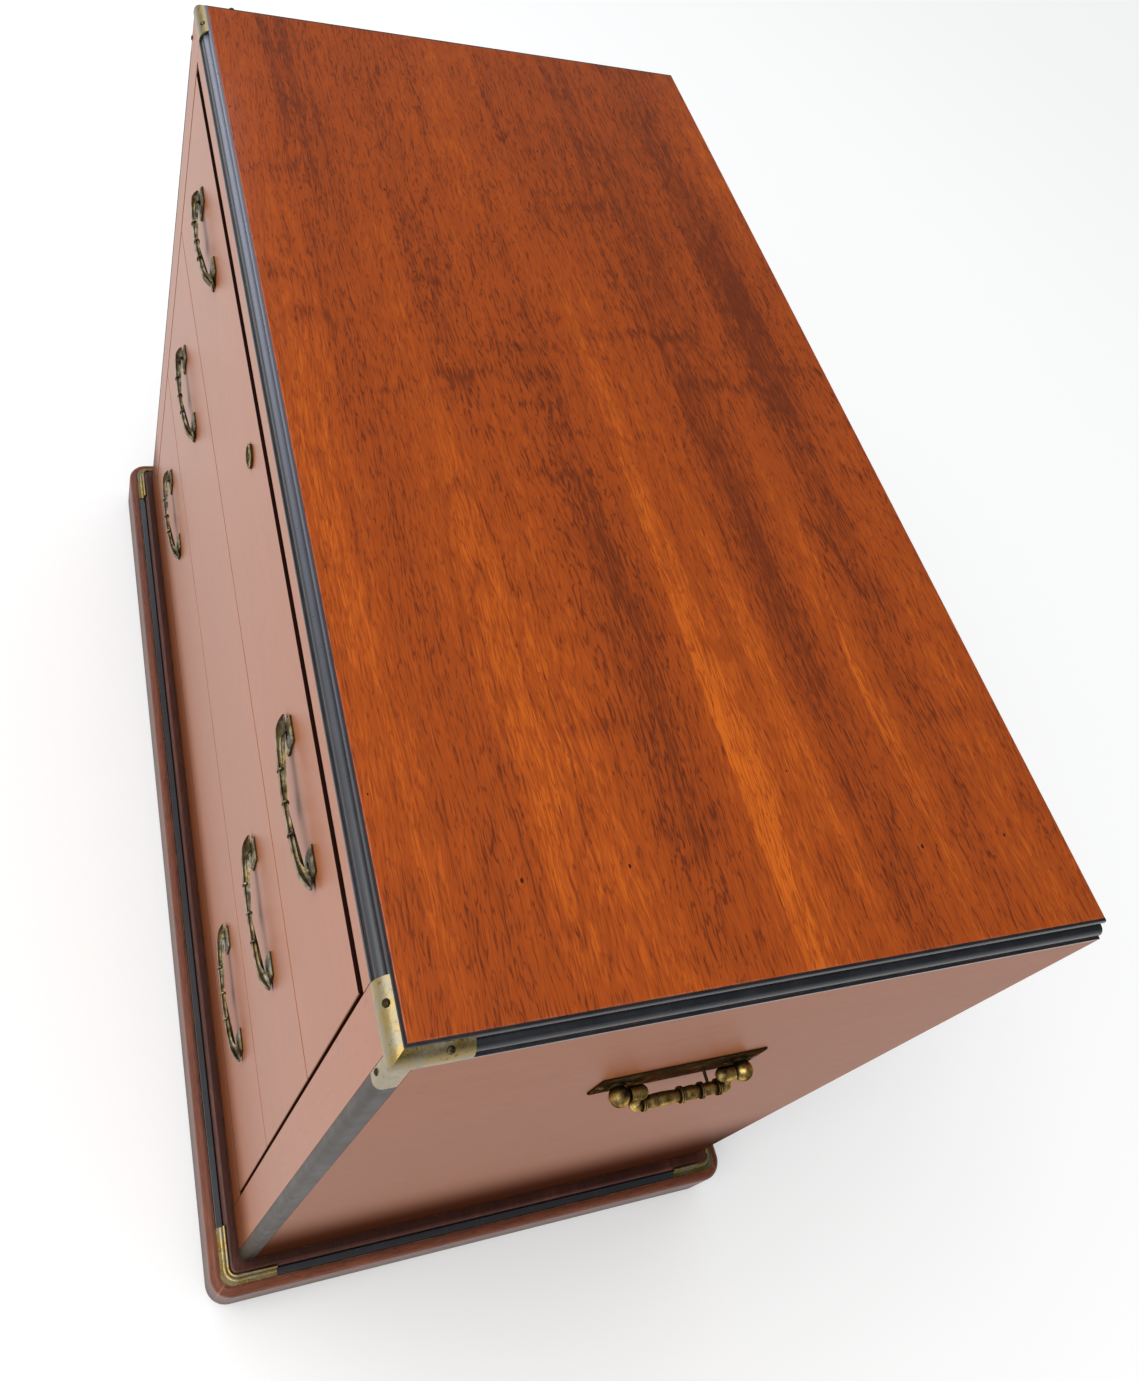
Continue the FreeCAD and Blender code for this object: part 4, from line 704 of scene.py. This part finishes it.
def makePull(shape, centre, height):
    plan = [(u / 1000, -p / 1000) for u, p in pull["outer"] + pull["inner"]]
    plan += [(-u, p) for u, p in reversed(plan) if u]
    half = pull["height"] / 2
    corners = [shape.verts.new((u, p, -half)) for u, p in plan]
    base = shape.faces.new(corners)
    raised = bmesh.ops.extrude_face_region(shape, geom=[base])["geom"]
    lifted = [v for v in raised if isinstance(v, bmesh.types.BMVert)]
    bmesh.ops.translate(shape, verts=lifted, vec=(0, 0, pull["height"]))
    lid = [f for f in raised if isinstance(f, bmesh.types.BMFace)]
    rim, depth = pull["groove"]
    for cover, way in ((lid[0], -1), (base, 1)):
        bmesh.ops.inset_region(shape, faces=[cover], thickness=rim, use_even_offset=True)
        bmesh.ops.translate(shape, verts=cover.verts, vec=(0, 0, way * depth))
    edges = [e for e in shape.edges
             if all(abs(abs(v.co.z) - half) < mergeDistance for v in e.verts)
             and e.verts[0].co.z * e.verts[1].co.z > 0]      # both on top, or both below
    bmesh.ops.bevel(shape, geom=edges, offset=pull["bevel"], segments=2, profile=0.5,
                    affect="EDGES", material=-1, clamp_overlap=True)
    bmesh.ops.triangulate(shape, faces=[f for f in shape.faces if len(f.verts) > 4])
    for u in pull["bands"]:
        radius, width = pull["bandSize"]
        ring = bmesh.ops.create_cone(shape, cap_ends=True, segments=pull["roundness"],
                                     radius1=radius, radius2=radius, depth=width)["verts"]
        bmesh.ops.rotate(shape, verts=ring, matrix=quarterTurn("Y"))
        bmesh.ops.scale(shape, verts=ring, vec=pull["bandSquash"])
        bmesh.ops.translate(shape, verts=ring, vec=(u, pull["bow"], 0))
    leaf = bmesh.ops.create_uvsphere(shape, u_segments=pull["roundness"],
                                     v_segments=pull["roundness"] // 2, radius=1)["verts"]
    bmesh.ops.scale(shape, verts=leaf, vec=pull["leaf"])
    bmesh.ops.translate(shape, verts=leaf, vec=(0, pull["bow"], pull["leafDrop"]))
    droop, reach = pull["droop"]
    for v in shape.verts:      # hang the middle of the bow lower than its ends
        v.co.z -= droop * max(0, 1 - (v.co.x / reach) ** 2)
    radius, length = pull["stud"]
    across, proud = pull["studPlace"]
    for side in (-1, 1):
        stud = bmesh.ops.create_cone(shape, cap_ends=True, segments=20, radius1=radius,
                                     radius2=radius, depth=length)["verts"]
        bmesh.ops.rotate(shape, verts=stud, matrix=quarterTurn("X"))
        bmesh.ops.translate(shape, verts=stud, vec=(side * across, length / 2 - proud, 0))
    bmesh.ops.translate(shape, verts=shape.verts, vec=(centre, pull["face"], height))


def makePulls(drawer, material):
    whole = bmesh.new()
    for centre in pull["centres"]:
        one = bmesh.new()
        makePull(one, centre, pullHeight("rosettes_" + drawer))
        scrap = bpy.data.meshes.new("scrap")
        one.to_mesh(scrap)
        one.free()
        whole.from_mesh(scrap)
        bpy.data.meshes.remove(scrap)
    makePiece("bows_" + drawer, whole, material, "drawer_" + drawer, "brass", "pulls_" + drawer)


capScrew = {
    "seats": [       # middle of the head's seat, and the way it looks, for the right-hand cap
        ((0.4255, -0.23207, 0.69672), (0, -0.67, 0.742)),
        ((0.45357, -0.2040, 0.69672), (0.67, 0, 0.742)),
        ((0.4507, -0.2355, 0.66688), (0, -1, 0)),
    ],
    "radius": (0.0024, 0.0024, 0.0021),
    "base": 0.2,                       # how far the ball is left below its middle
    "rise": 0.62,                      # height of the dome over its radius
    "slot": (0.0007, 0.0004),          # half width, depth
}


def makeCapScrews(material):
    shape = bmesh.new()
    halfWidth, depth = capScrew["slot"]
    for (place, facing), radius in zip(capScrew["seats"], capScrew["radius"]):
        for side in (-1, 1):
            ball = bmesh.ops.create_uvsphere(shape, u_segments=28, v_segments=16,
                                             radius=radius)["verts"]
            for v in ball:
                v.co.z = max(v.co.z, -radius * capScrew["base"]) * capScrew["rise"]
                if v.co.z > 0 and abs(v.co.x) < halfWidth:
                    v.co.z = max(0, v.co.z - depth)
            facingSide = Vector((side * facing[0], facing[1], facing[2]))
            turn = facingSide.to_track_quat("Z", "X").to_matrix()
            bmesh.ops.rotate(shape, verts=ball, matrix=turn)
            bmesh.ops.translate(shape, verts=ball, vec=(side * place[0], place[1], place[2]))
    makePiece("cap_screw_heads", shape, material, "case", "brass", "cap_screws")


drawers = ("upper", "middle", "lower")
sides = ("right", "left")

woodTones = {            # woods: pale, middle, deep, or pale and deep
    "red": ((0.46, 0.140, 0.033, 1), (0.32, 0.087, 0.020, 1), (0.200, 0.048, 0.013, 1)),
    "base": ((0.25, 0.074, 0.032, 1), (0.145, 0.042, 0.020, 1), (0.072, 0.021, 0.013, 1)),
    "bead": ((0.14, 0.044, 0.030, 1), (0.07, 0.020, 0.012, 1), (0.035, 0.012, 0.010, 1)),
    "oak": ((0.56, 0.38, 0.20, 1), (0.36, 0.22, 0.11, 1)),
    "stain": ((0.40, 0.21, 0.10, 1), (0.20, 0.095, 0.045, 1)),
    "rubbedAndHighlitTop": (0.80, 0.46, 0.34, 1),
}
footShades = {           # painted shade towards the foot: two heights, and what is left of the tone at each
    "front": (0.09, 0.17, 0.35, 1.0),
    "side": (0.095, 0.270, 0.05, 1.0),
}
glosses = {              # weight and roughness of the polish
    "front": (1.0, 0.33),
    "side": (0.75, 0.40),
    "base": (0.22, 0.22),
}
headGap = 0.0036         # painted shadow on both sides of the gap over the top drawer
boardWidth = 0.158       # boards of the back
calm = {"streaks": 0.30, "figure": 0.5, "fibres": 0.4, "pores": 0.7}

capTones = {"bright": (0.31, 0.215, 0.060, 1), "silver": (0.28, 0.255, 0.195, 1)}
brasses = {
    "pull": dict(tarnish=0.74, mottle=0.9, bright=(0.38, 0.29, 0.12, 1),
                 silver=(0.36, 0.35, 0.30, 1)),
    "handle": dict(tarnish=0.80, mottle=0.05, rim=(0.6, 0.42, 0.22, 1),
                   bright=(0.74, 0.50, 0.16, 1)),
    "plate": dict(tarnish=0.92, rim=(0.35, 0.22, 0.10, 1), bright=(0.30, 0.20, 0.07, 1),
                  silver=(0.22, 0.17, 0.09, 1)),
    "cap": dict(tarnish=0.30, mottle=1.0, **capTones),
    "baseCorner": dict(tarnish=0.42, mottle=0.8, **capTones),
    "screw": dict(tarnish=0.90, bright=(0.42, 0.36, 0.24, 1)),
    "escutcheon": dict(tarnish=0.8),
}


def redCherry(name, along, offset, part="front", **rest):
    return cherry(name, along, offset, tones=woodTones["red"], gloss=glosses[part], **rest, **calm)


railFoot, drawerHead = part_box("top_rail")[0][2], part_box("drawer_front_upper")[1][2]

# the top's rubbed edge is pale: wear, with a painted highlight along the arris
paint(cherry("topCherry", "x", (0.0, 0.0, 0.0), wear=0.5, leaves=True, relief=0.00004,
             worn=woodTones["rubbedAndHighlitTop"], streaks=0.75), "top_panel")
for index, drawer in enumerate(drawers):
    # drawer fronts: a dark edge tone, painted shade along the seams; painted shadow under the top
    # rail, and painted shade towards the foot
    paint(redCherry("frontCherry_" + drawer, "x", (0.7 * index, 0.31, 0.4 * index), wear=1.6,
                    worn=gapTone, dark=(drawerHead - headGap, 1.0), foot=footShades["front"]),
          "drawer_front_" + drawer)
    paint(plainWood("boxTimber_" + drawer, "y", (0.2 * index, 0.5, 0.1), *woodTones["oak"]),
          "drawer_side_" + drawer + "_right", "drawer_side_" + drawer + "_left")
    paint(plainWood("boxBoards_" + drawer, "x", (0.3 * index, 0.9, 0.1), *woodTones["oak"]),
          "drawer_back_" + drawer, "drawer_bottom_" + drawer)
    pullBrass = brass("pullBrass_" + drawer, **brasses["pull"])
    paint(pullBrass, "rosettes_" + drawer, "pulls_" + drawer)
    makePulls(drawer, pullBrass)
print("drawers finished")

for index, side in enumerate(sides):
    paint(redCherry("sideCherry_" + side, "y", (1.3 * index, 0.2, 0.6), "side",
                    foot=footShades["side"]), "side_panel_" + side)
    paint(redCherry("stileCherry_" + side, "z", (0.5 * index, 0.8, 0.2), foot=footShades["front"]),
          "stile_" + side)
    paint(cherry("plinthCherry_" + side, "y", (0.3 * index, 1.8, 0.9), wear=0.9,
                 tones=woodTones["base"], gloss=glosses["base"]), "plinth_" + side)
    paint(plainWood("runnerTimber_" + side, "y", (0.4, 0.3 * index, 0.1), *woodTones["oak"]),
          "runners_" + side)
    paint(brass("handleBrass_" + side, **brasses["handle"]), "handle_posts_" + side,
          "bail_" + side)
    paint(brass("plateBrass_" + side, **brasses["plate"]), "handle_plate_" + side)
    paint(brass("capBrass_" + side, **brasses["cap"]), "cap_front_" + side)
    paint(ebonised("cornerStrip_" + side, (0.024, 0.018, 0.013, 1), wear=0.3, rough=0.42,
                   coat=0.06, level=0.15), "corner_moulding_" + side)
# painted shadow along the rail's lower edge, over the gap above the top drawer
paint(redCherry("headRailCherry", "x", (0.4, 1.1, 0.3), dark=(0.0, railFoot + headGap)),
      "top_rail")
paint(redCherry("railCherry", "x", (0.4, 1.3, 0.3), foot=footShades["front"]), "bottom_rail",
      "divider_upper", "divider_lower")
paint(cherry("plinthFrontCherry", "x", (0.1, 2.1, 0.3), wear=0.9, tones=woodTones["base"],
             gloss=glosses["base"]), "plinth_front", "plinth_back")
paint(cherry("beadCherry", "x", (0.9, 0.1, 0.7), wear=0.9, tones=woodTones["bead"]), "rim_bead")
# painted reflection: a pale bluish sheen on the front moulding's upper strip, fading along its
# length
paint(ebonised("ebonyMouldingFront", rough=0.30, coat=0.2, film=(0.150, 0.160, 0.210, 1),
               sheenBand=(0.2255, 0.2322), sheenFade=(0.48, -0.45)), "top_moulding_front")
paint(ebonised("ebonyMoulding"), "top_moulding_right", "top_moulding_left")
# painted sheen: a faint bluish tone on the band's upward faces
paint(ebonised("ebonyBand", (0.012, 0.015, 0.018, 1), wear=0.4, film=(0.020, 0.026, 0.032, 1)),
      "ebony_band")
paint(plainWood("caseBoards", "x", (0.1, 0.6, 0.8), *woodTones["oak"]), "case_bottom",
      "back_stretcher", "base_bearers")
paint(plainWood("backBoards", "x", (0.7, 0.2, 0.5), *woodTones["stain"], boards=boardWidth),
      "back_panel")
paint(brass("baseCornerBrass", **brasses["baseCorner"]), "base_corners")
screwBrass = brass("screwBrass", **brasses["screw"])
paint(screwBrass, "cap_screws", "handle_screws")
makeCapScrews(screwBrass)
paint(brass("escutcheonBrass", **brasses["escutcheon"]), "escutcheon")
paint(steel("lockSteel"), "lock")
print("materials on all", len(nodes), "nodes")


def makeFloor():
    mesh = bpy.data.meshes.new("studioFloor")
    shape = bmesh.new()
    bmesh.ops.create_grid(shape, x_segments=1, y_segments=1, size=studio["floorSize"] / 2)
    bmesh.ops.translate(shape, verts=shape.verts, vec=(0, 0, -studio["floorDrop"]))
    shape.to_mesh(mesh)
    shape.free()
    floor = bpy.data.objects.new("studioFloor", mesh)
    bpy.context.scene.collection.objects.link(floor)
    material, tree, shader = newMaterial("floorPaper")[:3]
    shader["Base Color"].default_value = studio["floorTone"]
    shader["Roughness"].default_value = studio["floorRough"]
    shader["Specular IOR Level"].default_value = 0.0
    path = put(tree, "ShaderNodeLightPath").outputs
    seen = calc(tree, "MAXIMUM", path["Is Camera Ray"], path["Is Glossy Ray"])
    seen = calc(tree, "MAXIMUM", seen, path["Is Transmission Ray"])
    shader["Emission Color"].default_value = (1, 1, 1, 1)
    # painted shadow: the lift is cut by ambient occlusion near the object
    openness = put(tree, "ShaderNodeAmbientOcclusion", {"Distance": studio["floorShadowReach"]},
                   samples=8).outputs["AO"]
    lift = calc(tree, "MULTIPLY", openness, studio["floorLift"])
    tree.links.new(calc(tree, "MULTIPLY", seen, lift), shader["Emission Strength"])
    floor.data.materials.append(material)


def makeSky():
    world = bpy.data.worlds.new("studioSky")
    bpy.context.scene.world = world
    world.use_nodes = True
    tree = world.node_tree
    background = tree.nodes["Background"]
    background.inputs["Color"].default_value = studio["skyTone"]
    path = put(tree, "ShaderNodeLightPath").outputs
    towards = put(tree, "ShaderNodeTexCoord").outputs["Generated"]
    up = put(tree, "ShaderNodeSeparateXYZ", {0: towards}).outputs["Z"]
    level = ramp(tree, up, *studio["skyBand"], *studio["skyLevels"])
    front = put(tree, "ShaderNodeVectorMath", {0: towards, 1: studio["glowFrom"]},
                operation="DOT_PRODUCT").outputs["Value"]
    glow = ramp(tree, front, *studio["glowBand"], 0.0, studio["glow"])
    level = calc(tree, "MAXIMUM", level, glow)
    level = calc(tree, "MAXIMUM", level, path["Is Camera Ray"])
    tree.links.new(level, background.inputs["Strength"])


makeFloor()
makeSky()
bpy.context.scene.view_settings.view_transform = "Standard"
print("floor and sky made")
